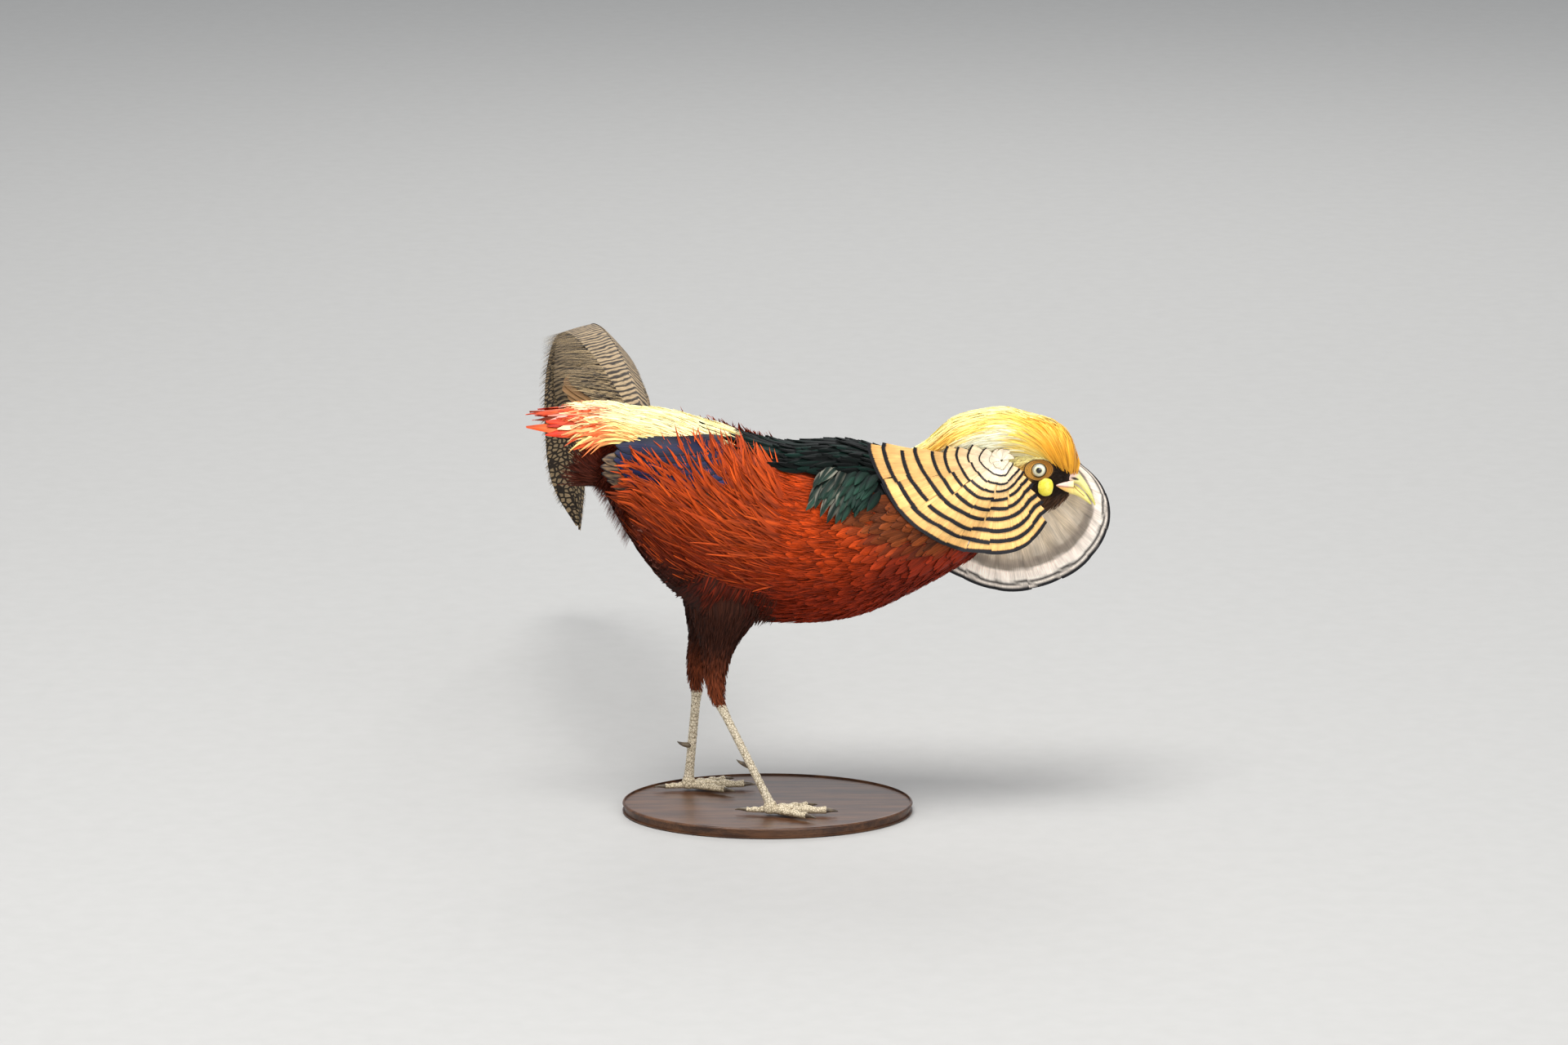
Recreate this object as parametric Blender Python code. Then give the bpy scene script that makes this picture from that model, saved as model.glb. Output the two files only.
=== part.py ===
# Golden pheasant cock, standing, life size: a still museum-style model.
# The bird faces +X, its left side is +Y, and it stands on the plane z = 0.
# All sizes below are in millimetres; MM turns them into metres when a mesh is made.
import math

import bmesh
import bpy
import numpy as np

MM = 0.001
GAP = 0.3  # left between pieces that meet

# Driving sizes of the bird
EAR = (159.5, 19.0, 254.0)  # middle of each cape fan: forward, out to the side, up
EYE_CENTRE = (186.0, 9.6, 245.5)
EYE_RADIUS = 6.2
NECK_START = 100.0
HEAD_START = 163.0
BILL_START = 208.0
ANKLE_HEIGHT = 8.0
RIGHT, LEFT = -1, 1

# Outline of the body: forward place, top, bottom, half width
BODY = (
    (-122, 261, 233, 15),
    (-112, 273, 213, 29),
    (-95, 281, 184, 39),
    (-75, 282, 160, 46),
    (-50, 274, 145, 52),
    (-20, 265, 137, 56),
    (10, 259.5, 134, 58),
    (40, 261.5, 135, 57),
    (60, 259.5, 139, 54.5),
    (80, 254, 147, 50),
    (100, 249, 157, 44.5),
    (120, 246.5, 168, 38),
    (142, 249, 182, 29),
    (158, 257, 198, 21),
    (163, 260, 202, 19),
    (172, 265, 208, 16.5),
    (180, 268, 211, 15),
    (188, 268.5, 213, 13.8),
    (196, 265, 216, 12),
    (203, 258, 219.5, 9.6),
    (208, 250, 223, 7.6),
)
CREST_LIFT = 1.4  # how far the tips of the crest's locks rise over its outline
FULLNESS = 0.93  # under 1 makes the cross-section fuller than an ellipse
WIDEST = 0.52  # height of the widest level, as a share of the section

# Crest as it lies over the crown and nape: forward place, top, bottom, half width
CREST = (
    (97, 256, 253, 5),
    (110, 264.5, 253, 13),
    (122, 276, 254, 19),
    (145, 284.5, 254, 22),
    (160, 286.5, 252, 21.5),
    (180, 282, 250, 18.5),
    (197, 277, 250, 15),
    (206, 270, 247, 11.5),
    (212, 259, 245, 7.5),
    (214.5, 250, 246, 3),
)

# Cape fans: how far the feathers reach from the ear at each angle of the side view, in degrees
CAPE_REACH = {
    "right": ((176, 95), (190, 84), (209, 76), (225, 70), (239, 68), (257, 65), (270, 65), (283, 63),
              (297, 57.5), (306, 53.5)),
    "left": ((178, 93), (200, 93), (225, 95), (251, 98.5), (275, 106), (294, 107), (310, 104), (326, 95),
             (340, 77), (349, 58)),
}
CAPE_FLARE = {"right": 0.28, "left": 0.06}  # how fast each fan leans outward
CAPE_OVER = 2.9  # the outer tier's level over the body
CAPE_STEP = 2.4  # from one tier's level to the next
# Tiers from the outside in: root and tip as shares of the reach, share of the row's count
CAPE_TIERS = ((0.47, 1.0, 1.0), (0.34, 0.78, 0.82), (0.2, 0.54, 0.64))
CAPE_ROW = {"right": 7, "left": 10}
VANE = 0.55  # thickness of a feather's vane
BESIDE = 0.48  # half width of a feather as a share of the place that it has in its row
SUNK = 3.0  # how deep a root is set in the step that it leaves
RISER = 0.8  # the run of a step's face

# Tail feathers, from the middle pair outward: share of the full length, sideways place, half width
RECTRICES = ((1.0, 12.5, 12.5), (0.8, 12.5, 11.5), (0.62, 17, 10.5), (0.48, 22, 10), (0.35, 27, 9.5),
             (0.31, 33, 9.5), (0.27, 39, 9), (0.23, 45, 8.5))
VANE_LEVEL = 1.25  # between one tail feather and the next below it
QUILLS = 0.075  # share of the tail's length over which its shafts lie close together
TAIL_STATIONS = (0, 0.02, 0.045, QUILLS, 0.13, 0.2, 0.28, 0.37, 0.46, 0.55, 0.64, 0.73, 0.82, 0.91, 1.0)
TAIL_CUTS = (0.365, 0.69)  # the tail is parted here, where it bends
TAIL_SPREAD = {"right": 0.5, "left": 1.0}
TAIL_SLOPE = {"right": math.radians(48), "left": math.radians(14)}

# Legs: the spine of each thigh with its half widths, each ankle's place, then toe sizes
THIGHS = {
    "right": ((-34, 27, 164, 30), (-35, 28, 148, 26), (-40.5, 29, 122, 12.8), (-43, 30, 104, 8.6),
              (-42, 31, 86, 5.6), (-39.8, 31, 77.5, 4.2)),
    "left": ((-38, 27, 160, 30), (-42, 28, 142, 24), (-50, 29, 116, 12.2), (-55.5, 30, 96, 8.4),
             (-57.5, 31, 82, 5.6), (-56.8, 31, 72.5, 4.2)),
}
ANKLES = {"right": (-4.0, 34.0), "left": (-63.0, 34.0)}
SHANK_RADIUS = 3.3
SCUTES = 9
SCUTE_STEP = 0.4
TOES = (("inner", 26.0, 27.0, 3.1), ("middle", -3.0, 38.0, 3.4), ("outer", -32.0, 28.0, 3.1),
        ("hind", 172.0, 15.0, 2.4))
CLAW_LENGTH = 9.0

# Tail: the line of its middle shafts, from the root out to the tip
TAIL_LINE = (
    (-104, 10, 246), (-97, 60, 269), (-108, 130, 290), (-124, 215, 298), (-138, 300, 288),
    (-148, 375, 260), (-156, 440, 217), (-161, 490, 168), (-161, 528, 118), (-156, 560, 66),
)

SIDES = {"right": RIGHT, "left": LEFT}
made = {}
chance = np.random.default_rng(11)


def clear_scene():
    for old in list(bpy.data.objects):
        bpy.data.objects.remove(old, do_unlink=True)


def smooth_curve(knots, values):
    """A function that runs smoothly through the values at the knots."""
    knots = np.asarray(knots, float)
    values = np.asarray(values, float)
    slopes = np.gradient(values, knots, axis=0)

    def at(place):
        place = np.clip(np.asarray(place, float), knots[0], knots[-1])
        i = np.clip(np.searchsorted(knots, place, side="right") - 1, 0, len(knots) - 2)
        span = knots[i + 1] - knots[i]
        t = (place - knots[i]) / span
        if values.ndim > 1:
            t = t[..., None]
            span = span[..., None]
        a = 2 * t**3 - 3 * t**2 + 1
        b = t**3 - 2 * t**2 + t
        c = 3 * t**2 - 2 * t**3
        d = t**3 - t**2
        return a * values[i] + b * span * slopes[i] + c * values[i + 1] + d * span * slopes[i + 1]

    return at


class Hull:
    """A rounded body that lies along X, given by the height and width of its sections."""

    def __init__(self, stations):
        table = np.asarray(stations, float)
        self.first, self.last = table[0, 0], table[-1, 0]
        self.section = smooth_curve(table[:, 0], table[:, 1:4])

    def bare(self, x, angle):
        x, angle = np.broadcast_arrays(np.asarray(x, float), np.asarray(angle, float))
        top, bottom, half = np.moveaxis(self.section(x), -1, 0)
        middle = bottom + WIDEST * (top - bottom)
        rise = np.where(np.sin(angle) >= 0, top - middle, middle - bottom)
        side = np.sign(np.cos(angle)) * np.abs(np.cos(angle)) ** FULLNESS
        lift = np.sign(np.sin(angle)) * np.abs(np.sin(angle)) ** FULLNESS
        return np.stack([x, -half * side, middle + rise * lift], -1)

    def normal(self, x, angle):
        step_x, step_a = 1.5, 0.03
        along = self.bare(np.add(x, step_x), angle) - self.bare(np.subtract(x, step_x), angle)
        round_ = self.bare(x, np.add(angle, step_a)) - self.bare(x, np.subtract(angle, step_a))
        n = np.cross(along, round_)
        return n / (np.linalg.norm(n, axis=-1, keepdims=True) + 1e-12)

    def point(self, x, angle, grow=0.0):
        """Angle 0 is the right side, a quarter turn the top, half a turn the left side."""
        return self.bare(x, angle) + np.asarray(grow)[..., None] * self.normal(x, angle)

    def half_width(self, x, z):
        top, bottom, half = np.moveaxis(self.section(x), -1, 0)
        middle = bottom + WIDEST * (top - bottom)
        share = np.where(z > middle, (z - middle) / (top - middle), (middle - z) / (middle - bottom))
        power = 2 / FULLNESS
        return half * np.clip(1 - np.clip(share, 0, 1) ** power, 0, 1) ** (1 / power)


body = Hull(BODY)
crest = Hull(CREST)


def volume_of(points, faces):
    p = np.asarray(points)
    total = 0.0
    for f in faces:
        for k in range(1, len(f) - 1):
            total += np.dot(p[f[0]], np.cross(p[f[k]], p[f[k + 1]]))
    return total / 6


def mesh_object(name, points, faces):
    """A closed mesh object from points in millimetres, with its faces turned outward."""
    if volume_of(points, faces) < 0:
        faces = [tuple(reversed(f)) for f in faces]
    mesh = bpy.data.meshes.new(name)
    mesh.from_pydata([tuple(float(c) * MM for c in p) for p in points], [], [tuple(f) for f in faces])
    mesh.update()
    obj = bpy.data.objects.new(name, mesh)
    bpy.context.scene.collection.objects.link(obj)
    return obj


def loft(rings):
    """Points and triangles of a closed skin over rings of equal count."""
    rings = [np.asarray(r, float) for r in rings]
    count = len(rings[0])
    points = [p for r in rings for p in r]
    faces = []
    for i in range(len(rings) - 1):
        for j in range(count):
            a, b = i * count + j, i * count + (j + 1) % count
            faces.append((a, b, b + count))
            faces.append((a, b + count, a + count))
    for end, ring, start in ((0, rings[0], 0), (1, rings[-1], (len(rings) - 1) * count)):
        points.append(ring.mean(0))
        hub = len(points) - 1
        for j in range(count):
            pair = (start + j, start + (j + 1) % count)
            faces.append((hub, pair[1], pair[0]) if end == 0 else (hub, pair[0], pair[1]))
    return points, faces


def ring_around(centre, side, up, half_side, half_up, count, turn=0.0):
    angles = turn + np.arange(count) * 2 * math.pi / count
    return (np.asarray(centre) + np.outer(np.cos(angles) * half_side, side)
            + np.outer(np.sin(angles) * half_up, up))


def unit(v):
    v = np.asarray(v, float)
    return v / (np.linalg.norm(v, axis=-1, keepdims=True) + 1e-12)


def tangents(line):
    return unit(np.gradient(np.asarray(line, float), axis=0))


def tube(line, half_sides, half_ups, up=(0, 0, 1), count=12):
    """Rings along a bent line, square to it."""
    line = np.asarray(line, float)
    rings = []
    for p, t, a, b in zip(line, tangents(line), half_sides, half_ups):
        side = unit(np.cross(t, up))
        rings.append(ring_around(p, side, np.cross(side, t), a, b, count))
    return loft(rings)


def body_part(start, end, steps, count, grow=0.0, hull=None, half=0):
    """A length of the body between two upright cuts; half takes one side of it only."""
    hull = hull or body
    rings = []
    for x in np.linspace(start, end, steps):
        if half:
            angle = np.linspace(-math.pi / 2, math.pi / 2, count // 2 + 1)
            if half == LEFT:
                angle = math.pi - angle
            ring = hull.point(x, angle, np.full(len(angle), grow))
            ring[:, 1] += half * GAP / 2
            ring[0, 1] = ring[-1, 1] = half * GAP / 2
        else:
            angle = np.arange(count) * 2 * math.pi / count
            ring = hull.point(x, angle, np.full(count, grow))
        ring[:, 0] = x
        rings.append(ring)
    return loft(rings)


def ball(centre, radii, rings=10, count=16):
    centre, radii = np.asarray(centre, float), np.asarray(radii, float)
    points = [centre + radii * (0, 0, 1)]
    for i in range(1, rings):
        a = math.pi * i / rings
        for j in range(count):
            b = 2 * math.pi * j / count
            way = (math.sin(a) * math.cos(b), math.sin(a) * math.sin(b), math.cos(a))
            points.append(centre + radii * way)
    points.append(centre - radii * (0, 0, 1))
    faces = []
    for j in range(count):
        k = (j + 1) % count
        faces.append((0, 1 + j, 1 + k))
        for i in range(rings - 2):
            a, b = 1 + i * count + j, 1 + i * count + k
            faces.append((a, a + count, b + count))
            faces.append((a, b + count, b))
        last = 1 + (rings - 2) * count
        faces.append((len(points) - 1, last + k, last + j))
    return points, faces


def shell(inner, outer):
    """A closed plate between two grids of points, cut into triangles alike on both faces."""
    inner, outer = np.asarray(inner, float), np.asarray(outer, float)
    rows, columns = inner.shape[:2]
    points = list(inner.reshape(-1, 3)) + list(outer.reshape(-1, 3))
    shift = rows * columns
    faces = []
    for i in range(rows - 1):
        for j in range(columns - 1):
            a, b = i * columns + j, i * columns + j + 1
            c, d = b + columns, a + columns
            faces += [(a, c, b), (a, d, c)]
            faces += [(a + shift, b + shift, c + shift), (a + shift, c + shift, d + shift)]
    rim = [(0, j) for j in range(columns - 1)] + [(i, columns - 1) for i in range(rows - 1)]
    rim += [(rows - 1, j) for j in range(columns - 1, 0, -1)] + [(i, 0) for i in range(rows - 1, 0, -1)]
    loop = [i * columns + j for i, j in rim]
    for k, a in enumerate(loop):
        b = loop[(k + 1) % len(loop)]
        faces += [(a, b, b + shift), (a, b + shift, a + shift)]
    return points, faces


def largest_surface(obj):
    """Keeps the biggest closed surface of a mesh and drops what lies loose or sealed inside."""
    bm = bmesh.new()
    bm.from_mesh(obj.data)
    bmesh.ops.remove_doubles(bm, verts=bm.verts, dist=2e-6)
    left = set(bm.faces)
    groups = []
    while left:
        stack = [left.pop()]
        group = set(stack)
        while stack:
            for edge in stack.pop().edges:
                for face in edge.link_faces:
                    if face in left:
                        left.remove(face)
                        group.add(face)
                        stack.append(face)
        groups.append(group)
    keep = max(groups, key=lambda g: sum(f.calc_area() for f in g))
    bmesh.ops.delete(bm, geom=[f for g in groups if g is not keep for f in g], context="FACES")
    bmesh.ops.delete(bm, geom=[v for v in bm.verts if not v.link_faces], context="VERTS")
    bmesh.ops.triangulate(bm, faces=bm.faces)
    bm.to_mesh(obj.data)
    bm.free()


def combine(obj, others, operation):
    """Joins other closed meshes to an object, or cuts them from it, and removes them."""
    if not others:
        return obj
    group = bpy.data.collections.new("working")
    bpy.context.scene.collection.children.link(group)
    for other in others:
        bpy.context.scene.collection.objects.unlink(other)
        group.objects.link(other)
    modifier = obj.modifiers.new("combine", "BOOLEAN")
    modifier.operation = operation
    modifier.operand_type = "COLLECTION"
    modifier.collection = group
    modifier.solver = "EXACT"
    bpy.context.view_layer.update()
    result = bpy.data.meshes.new_from_object(obj.evaluated_get(bpy.context.evaluated_depsgraph_get()))
    obj.modifiers.clear()
    obj.data = result
    for other in list(group.objects):
        bpy.data.objects.remove(other, do_unlink=True)
    bpy.data.collections.remove(group)
    largest_surface(obj)
    return obj


def vane(surface, along, around, spread, lift, columns=2):
    """A flat feather on surface(along, around, lift), whose half width is a spread of around."""
    along, around, spread, lift = (np.asarray(v, float)[:, None] for v in (along, around, spread, lift))
    across = np.linspace(-1, 1, columns)[None, :]
    place = around + across * spread
    along = along + 0 * across
    height = lift + 0 * across
    return shell(surface(along, place, height - VANE / 2), surface(along, place, height + VANE / 2))


def ease(t):
    t = np.clip(t, 0, 1)
    return t * t * (3 - 2 * t)


def piece(solid):
    return mesh_object("working", *solid)


def material(name, colour, roughness):
    m = bpy.data.materials.new(name)
    m.use_nodes = True
    shader = m.node_tree.nodes["Principled BSDF"]
    shader.inputs["Base Color"].default_value = (*colour, 1.0)
    shader.inputs["Roughness"].default_value = roughness
    shader.inputs["Metallic"].default_value = 0.0
    return m


def node(name, obj, colour, roughness=0.6):
    obj.name = name
    obj.data.name = name
    obj.data.materials.clear()
    obj.data.materials.append(material(name, colour, roughness))
    obj.data.shade_smooth()
    obj.data.set_sharp_from_angle(angle=math.radians(40))
    made[name] = obj
    return obj


RED = (0.55, 0.06, 0.015)
YELLOW = (0.9, 0.6, 0.12)
GOLD = (0.85, 0.42, 0.08)
BLUE = (0.03, 0.04, 0.16)
BUFF = (0.33, 0.24, 0.14)
HORN = (0.75, 0.62, 0.3)
DARK = (0.06, 0.03, 0.02)
LEG = (0.45, 0.38, 0.25)
WOOD = (0.09, 0.05, 0.03)


def torso_solid(grow=0.0):
    return piece(body_part(body.first - grow, NECK_START + grow, 17, 24, grow=grow))


def torso_cutter():
    return torso_solid(GAP)


def build_torso():
    node("torso", torso_solid(), RED)


BODY_END = -100.0  # behind this place the feathers carry the body's section on


def trailing(x, angle, grow):
    """The body's surface, carried straight on behind its end for feathers that pass the rump."""
    over = np.maximum(x, BODY_END)
    points = body.point(over, angle, np.broadcast_to(grow, np.broadcast(over, angle).shape))
    points[..., 0] += np.minimum(x - BODY_END, 0)
    return points


def arched(x, angle, grow):
    """The same surface with the arch that the rump's plumes make behind the body's end."""
    points = trailing(x, angle, grow)
    beyond = np.maximum(BODY_END - x, 0)
    points[..., 2] += 0.42 * beyond - 0.0077 * beyond**2
    return points


RUMP_FRONT = -28.0
RUMP_LEFT = 28  # degrees from the midline to the rump's left edge
RUMP_RIGHT = ((-100, 50), (-75, 45), (-50, 30), (-28, 24))  # and to its right edge, at places along it
# Rows of rump plumes: place of the step that they leave, length, level over the body, count
RUMP_ROWS = ((-46, 44, 4.4, 5), (-70, 48, 3.0, 6), (-98, 60, 1.6, 5))
RUMP_STEP = 1.4


def rump_angle(share, x, wider=0.0):
    """The angle round the body at a share of the rump's width, from -1 on the right to 1 on the left."""
    places, spread = zip(*RUMP_RIGHT)
    right = np.interp(x, places, spread)
    return math.pi / 2 + share * np.radians(np.where(share > 0, RUMP_LEFT, right) + wider)


def stepped(places, levels, step, start, end_level):
    """Places and levels of a surface that falls by steps, with the foot of its front edge at the start."""
    along, height = [start], [end_level]
    for place, level in zip(places, levels):
        along += [place + np.sign(start - place) * RISER, place]
        height += [level + step / 2, level - step / 2]
    return np.array(along, float), np.array(height, float)


def build_rump():
    rows = np.array(RUMP_ROWS, float)
    along, height = stepped(rows[:, 0], rows[:, 2], RUMP_STEP, RUMP_FRONT, 1.0)
    along, height = along[:-1, None], height[:-1, None]
    angle = rump_angle(np.linspace(-1, 1, 9)[None, :], along)
    under = arched(along, angle, np.full(along.shape, -1.5))
    saddle = piece(shell(under, arched(along, angle, height)))
    plumes = []
    for root, length, level, count in RUMP_ROWS:
        for k in range(int(count)):
            share = -0.96 + 1.92 * (k + 0.5) / count
            s = np.array((0, 0.4, 0.75, 1))
            x = root + SUNK - (length + SUNK + chance.uniform(-5, 6)) * s
            beside = (rump_angle(share + 0.1, x) - rump_angle(share - 0.1, x)) * 9.6 / count
            spread = BESIDE * beside * np.array((0.85, 1.0, 0.8, 0.12))
            plumes.append(piece(vane(arched, x, rump_angle(share, x), spread, level + 1.2 * s)))
    combine(saddle, plumes, "UNION")
    combine(saddle, [torso_cutter()], "DIFFERENCE")
    node("rump", saddle, YELLOW)


def cape_point(side, flare, reach, angle, lift):
    """A point of a cape fan: reach from the ear, angle in the side view, lift off what lies under it."""
    x = EAR[0] + reach * np.cos(angle)
    z = EAR[2] + reach * np.sin(angle)
    under = body.half_width(np.clip(x, body.first, HEAD_START), z)
    free = EAR[1] + flare * np.maximum(reach - 12, 0)
    y = np.maximum(free, under + CAPE_OVER) + lift
    return np.stack(np.broadcast_arrays(x, side * y, z), -1)


def cape_parts(name):
    """The core and the tiers of feathers of one cape fan."""
    side = SIDES[name]
    table = np.asarray(CAPE_REACH[name], float)
    rim = smooth_curve(np.radians(table[:, 0]), table[:, 1])
    start, end = np.radians(table[0, 0]), np.radians(table[-1, 0])

    def surface(reach, angle, lift):
        return cape_point(side, CAPE_FLARE[name], reach, angle, lift)

    angle = np.linspace(start, end, 11)[None, :]
    roots = [tier[0] for tier in reversed(CAPE_TIERS)]
    levels = [CAPE_STEP * k for k in reversed(range(len(CAPE_TIERS)))]
    share, height = [0.03], [levels[0] + CAPE_STEP / 2]
    for root, level in zip(roots, levels):
        share += [root - 0.01, root]
        height += [level + CAPE_STEP / 2, level - CAPE_STEP / 2]
    share, height = np.array(share[:-1])[:, None], np.array(height[:-1])[:, None]
    deep = np.interp(share, (0.03, CAPE_TIERS[0][0]), (-4.5, -CAPE_STEP / 2))
    reach = share * rim(angle)
    core = piece(shell(surface(reach, angle, deep), surface(reach, angle, height)))
    feathers = []
    for tier, (inner, outer, crowd) in enumerate(CAPE_TIERS):
        count = round(CAPE_ROW[name] * crowd)
        step = (end - start) / count
        for k in range(count):
            turn = start + (k + 0.5) * step
            s = np.array((0, 0.5, 0.9, 1))
            tip = rim(turn) * outer * chance.uniform(0.97, 1.0)
            root = rim(turn) * inner - SUNK
            spread = BESIDE * step * np.array((1, 1, 1, 0.66))
            level = CAPE_STEP * tier
            feathers.append(piece(vane(surface, root + (tip - root) * s, np.full(4, turn), spread,
                                       np.full(4, level))))
    for turn in (52, 76):
        turn = math.radians(turn if side == RIGHT else 180 - turn)
        s = np.array((0, 0.12, 0.5, 0.9, 1))
        spread = 0.19 * np.array((0.7, 1, 1, 0.9, 0.5))
        feathers.append(piece(vane(body.point, 140 - 70 * s, turn + 0 * s, spread,
                                   np.array((-2.5, 1.2, 1.6, 2.0, 2.1)), columns=3)))
    return core, feathers


def build_neck(name):
    side = SIDES[name]
    neck = piece(body_part(NECK_START - 2, HEAD_START - GAP, 9, 28, half=side))
    core, feathers = cape_parts(name)
    combine(neck, [core] + feathers, "UNION")
    head_cut = piece(body_part(HEAD_START - GAP / 2, BILL_START, 10, 32, grow=GAP))
    crest_cut = piece(body_part(crest.first, crest.last, 16, 24, grow=CREST_LIFT + GAP, hull=crest))
    combine(neck, [torso_cutter(), head_cut, crest_cut], "DIFFERENCE")
    node("neck_" + name, neck, GOLD)


def eye_place(side):
    return (EYE_CENTRE[0], side * EYE_CENTRE[1], EYE_CENTRE[2])


# Rows of crest locks: place of the step that they leave, length, level over the outline, rise to the
# tip, count
CREST_ROWS = ((203, 42, 0.3, 0.7, 5), (184, 48, -0.9, 1.9, 5), (160, 52, -2.1, 3.0, 5),
              (137, 40, -3.3, 3.6, 4))
CREST_STEP = 1.2
CREST_SPREAD = 156  # degrees that the locks take, over the top from side to side


def crest_core():
    """The body of the crest, which falls by steps toward the nape."""
    rows = np.array(CREST_ROWS, float)
    along, height = stepped(rows[:, 0], rows[:, 2], CREST_STEP, 210, -1.5)
    along, height = list(along[:-1]) + [126, 122], list(height[:-1]) + [-4.2, -5.4]
    rings = []
    for x, level in zip(along, height):
        angle = np.arange(16) * 2 * math.pi / 16
        ring = crest.point(x, angle, np.full(16, level))
        ring[:, 0] = x
        rings.append(ring)
    return piece(loft(rings))


def crest_locks():
    """Silky locks that flow back over the crown and nape, in rows from the forehead."""
    locks = []
    for row, (root, length, level, rise, count) in enumerate(CREST_ROWS):
        step = math.radians(CREST_SPREAD) / count
        for k in range(count):
            turn = math.radians(90 - CREST_SPREAD / 2) + (k + 0.5) * step
            s = np.array((0, 0.4, 0.75, 1))
            x = root + SUNK - (length + SUNK + chance.uniform(-4, 4)) * s
            spread = BESIDE * step * np.array((0.9, 1.0, 0.85, 0.16))
            locks.append(piece(vane(crest.point, np.maximum(x, crest.first), turn + 0 * s, spread,
                                    level + rise * s)))
    return locks


def build_head():
    skull = piece(body_part(HEAD_START, BILL_START, 11, 28))
    crown = crest_core()
    combine(crown, crest_locks(), "UNION")
    neck_cut = piece(body_part(40, HEAD_START, 16, 32, grow=4.0))
    bill_cut = piece(bill_half(UPPER_LINE, np.add(UPPER_WIDE, 2 * GAP), np.add(UPPER_DEEP, 2 * GAP)))
    combine(crown, [neck_cut, bill_cut], "DIFFERENCE")
    parts = [crown]
    for side in (RIGHT, LEFT):
        turns = np.arange(12) * 2 * math.pi / 12
        line = np.stack([EYE_CENTRE[0] + 5.7 * np.cos(turns), np.full(12, side * 13.2),
                         EYE_CENTRE[2] + 5.7 * np.sin(turns)], -1)
        parts.append(piece(ring_body(line, 1.1, 5)))
        gape = [(207.6, side * 6.2, 229.9), (203, side * 8.4, 229.6), (197.5, side * 10.6, 229.2)]
        parts.append(piece(tube(gape, (1.3, 1.2, 0.5), (1.0, 0.9, 0.4), count=6)))
    combine(skull, parts, "UNION")
    sockets = [piece(ball(eye_place(side), (EYE_RADIUS + GAP,) * 3, 10, 16)) for side in (RIGHT, LEFT)]
    combine(skull, sockets, "DIFFERENCE")
    node("head", skull, YELLOW)


def ring_body(line, radius, count):
    """A closed ring, such as a lid, round a loop of points."""
    line = np.asarray(line, float)
    middle = line.mean(0)
    total = len(line)
    axis = unit(np.cross(line[0] - middle, line[total // 4] - middle))
    points, faces = [], []
    for p in line:
        out = unit(p - middle)
        points += list(ring_around(p, out, axis, radius, radius, count))
    for i in range(total):
        k = (i + 1) % total
        for j in range(count):
            m = (j + 1) % count
            a, b, c, d = i * count + j, i * count + m, k * count + m, k * count + j
            faces += [(a, b, c), (a, c, d)]
    return points, faces


def bill_half(line, wide, deep):
    line = np.asarray(line, float)
    rings = []
    for i, (p, t) in enumerate(zip(line, tangents(line))):
        if i == 0:
            t = np.array((1.0, 0, 0))
        side = np.array((0, 1.0, 0))
        rings.append(ring_around(p, side, unit(np.cross(t, side)), wide[i], deep[i], 14))
    return loft(rings)


UPPER_LINE = ((208, 0, 238.2), (212, 0, 237.2), (216, 0, 234.4), (219.6, 0, 230.0), (222.6, 0, 225.4),
              (224.9, 0, 221.0), (226.6, 0, 217.0))
UPPER_WIDE = (6.4, 5.6, 4.4, 3.2, 2.3, 1.5, 0.6)
UPPER_DEEP = (5.6, 4.7, 2.9, 2.2, 1.6, 1.1, 0.6)
LOWER_LINE = ((208, 0, 228.8), (212, 0, 227.8), (216, 0, 225.4), (219.4, 0, 222.4), (222.0, 0, 219.6),
              (223.8, 0, 217.6))
LOWER_WIDE = (5.6, 5.0, 4.0, 2.9, 1.7, 0.7)
LOWER_DEEP = (3.6, 3.3, 2.6, 1.9, 1.1, 0.6)


def shifted(line, forward):
    return [(x + forward, y, z) for x, y, z in line]


def build_bill():
    upper = piece(bill_half(shifted(UPPER_LINE, GAP), UPPER_WIDE, UPPER_DEEP))
    nostrils = [piece(ball((212.6, side * 6.0, 237.2), (1.9, 1.3, 1.0), 6, 10)) for side in (RIGHT, LEFT)]
    combine(upper, nostrils, "DIFFERENCE")
    lower = piece(bill_half(shifted(LOWER_LINE, GAP), LOWER_WIDE, LOWER_DEEP))
    grown = piece(bill_half(UPPER_LINE, np.add(UPPER_WIDE, GAP), np.add(UPPER_DEEP, GAP)))
    combine(lower, [grown], "DIFFERENCE")
    node("bill_upper", upper, HORN, 0.35)
    node("bill_lower", lower, HORN, 0.35)


def build_eyes_and_wattles():
    for name, side in SIDES.items():
        node("eye_" + name, piece(ball(eye_place(side), (EYE_RADIUS,) * 3, 8, 12)), (0.85, 0.8, 0.6), 0.1)
        lappet = piece(ball((191.4, side * 13.6, 232.4), (5.0, 2.6, 6.6), 6, 9))
        head_cut = piece(body_part(HEAD_START, BILL_START, 12, 32, grow=GAP))
        combine(lappet, [head_cut], "DIFFERENCE")
        node("wattle_" + name, lappet, (0.9, 0.7, 0.08), 0.45)


WING_FRONT = -10.0
# Lower and upper edge of the folded wing in the side view, at places along it
WING_EDGES = ((-128, 232, 262), (-60, 231, 264), (-30, 238, 262), (-10, 244, 257))
# Rows of wing feathers: place of the step that they leave, length, level, count
WING_ROWS = ((-26, 50, 4.0, 3), (-46, 58, 2.7, 4), (-68, 60, 1.3, 4))
WING_STEP = 1.4
TAIL_CLEARS = -40.0  # behind this place the left wing slopes down, under the tail
WING_SLOPE = 0.42
WING_DROP = 20.0
LEFT_REACH = 0.8  # length of the left wing's feathers as a share of the right one's


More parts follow.
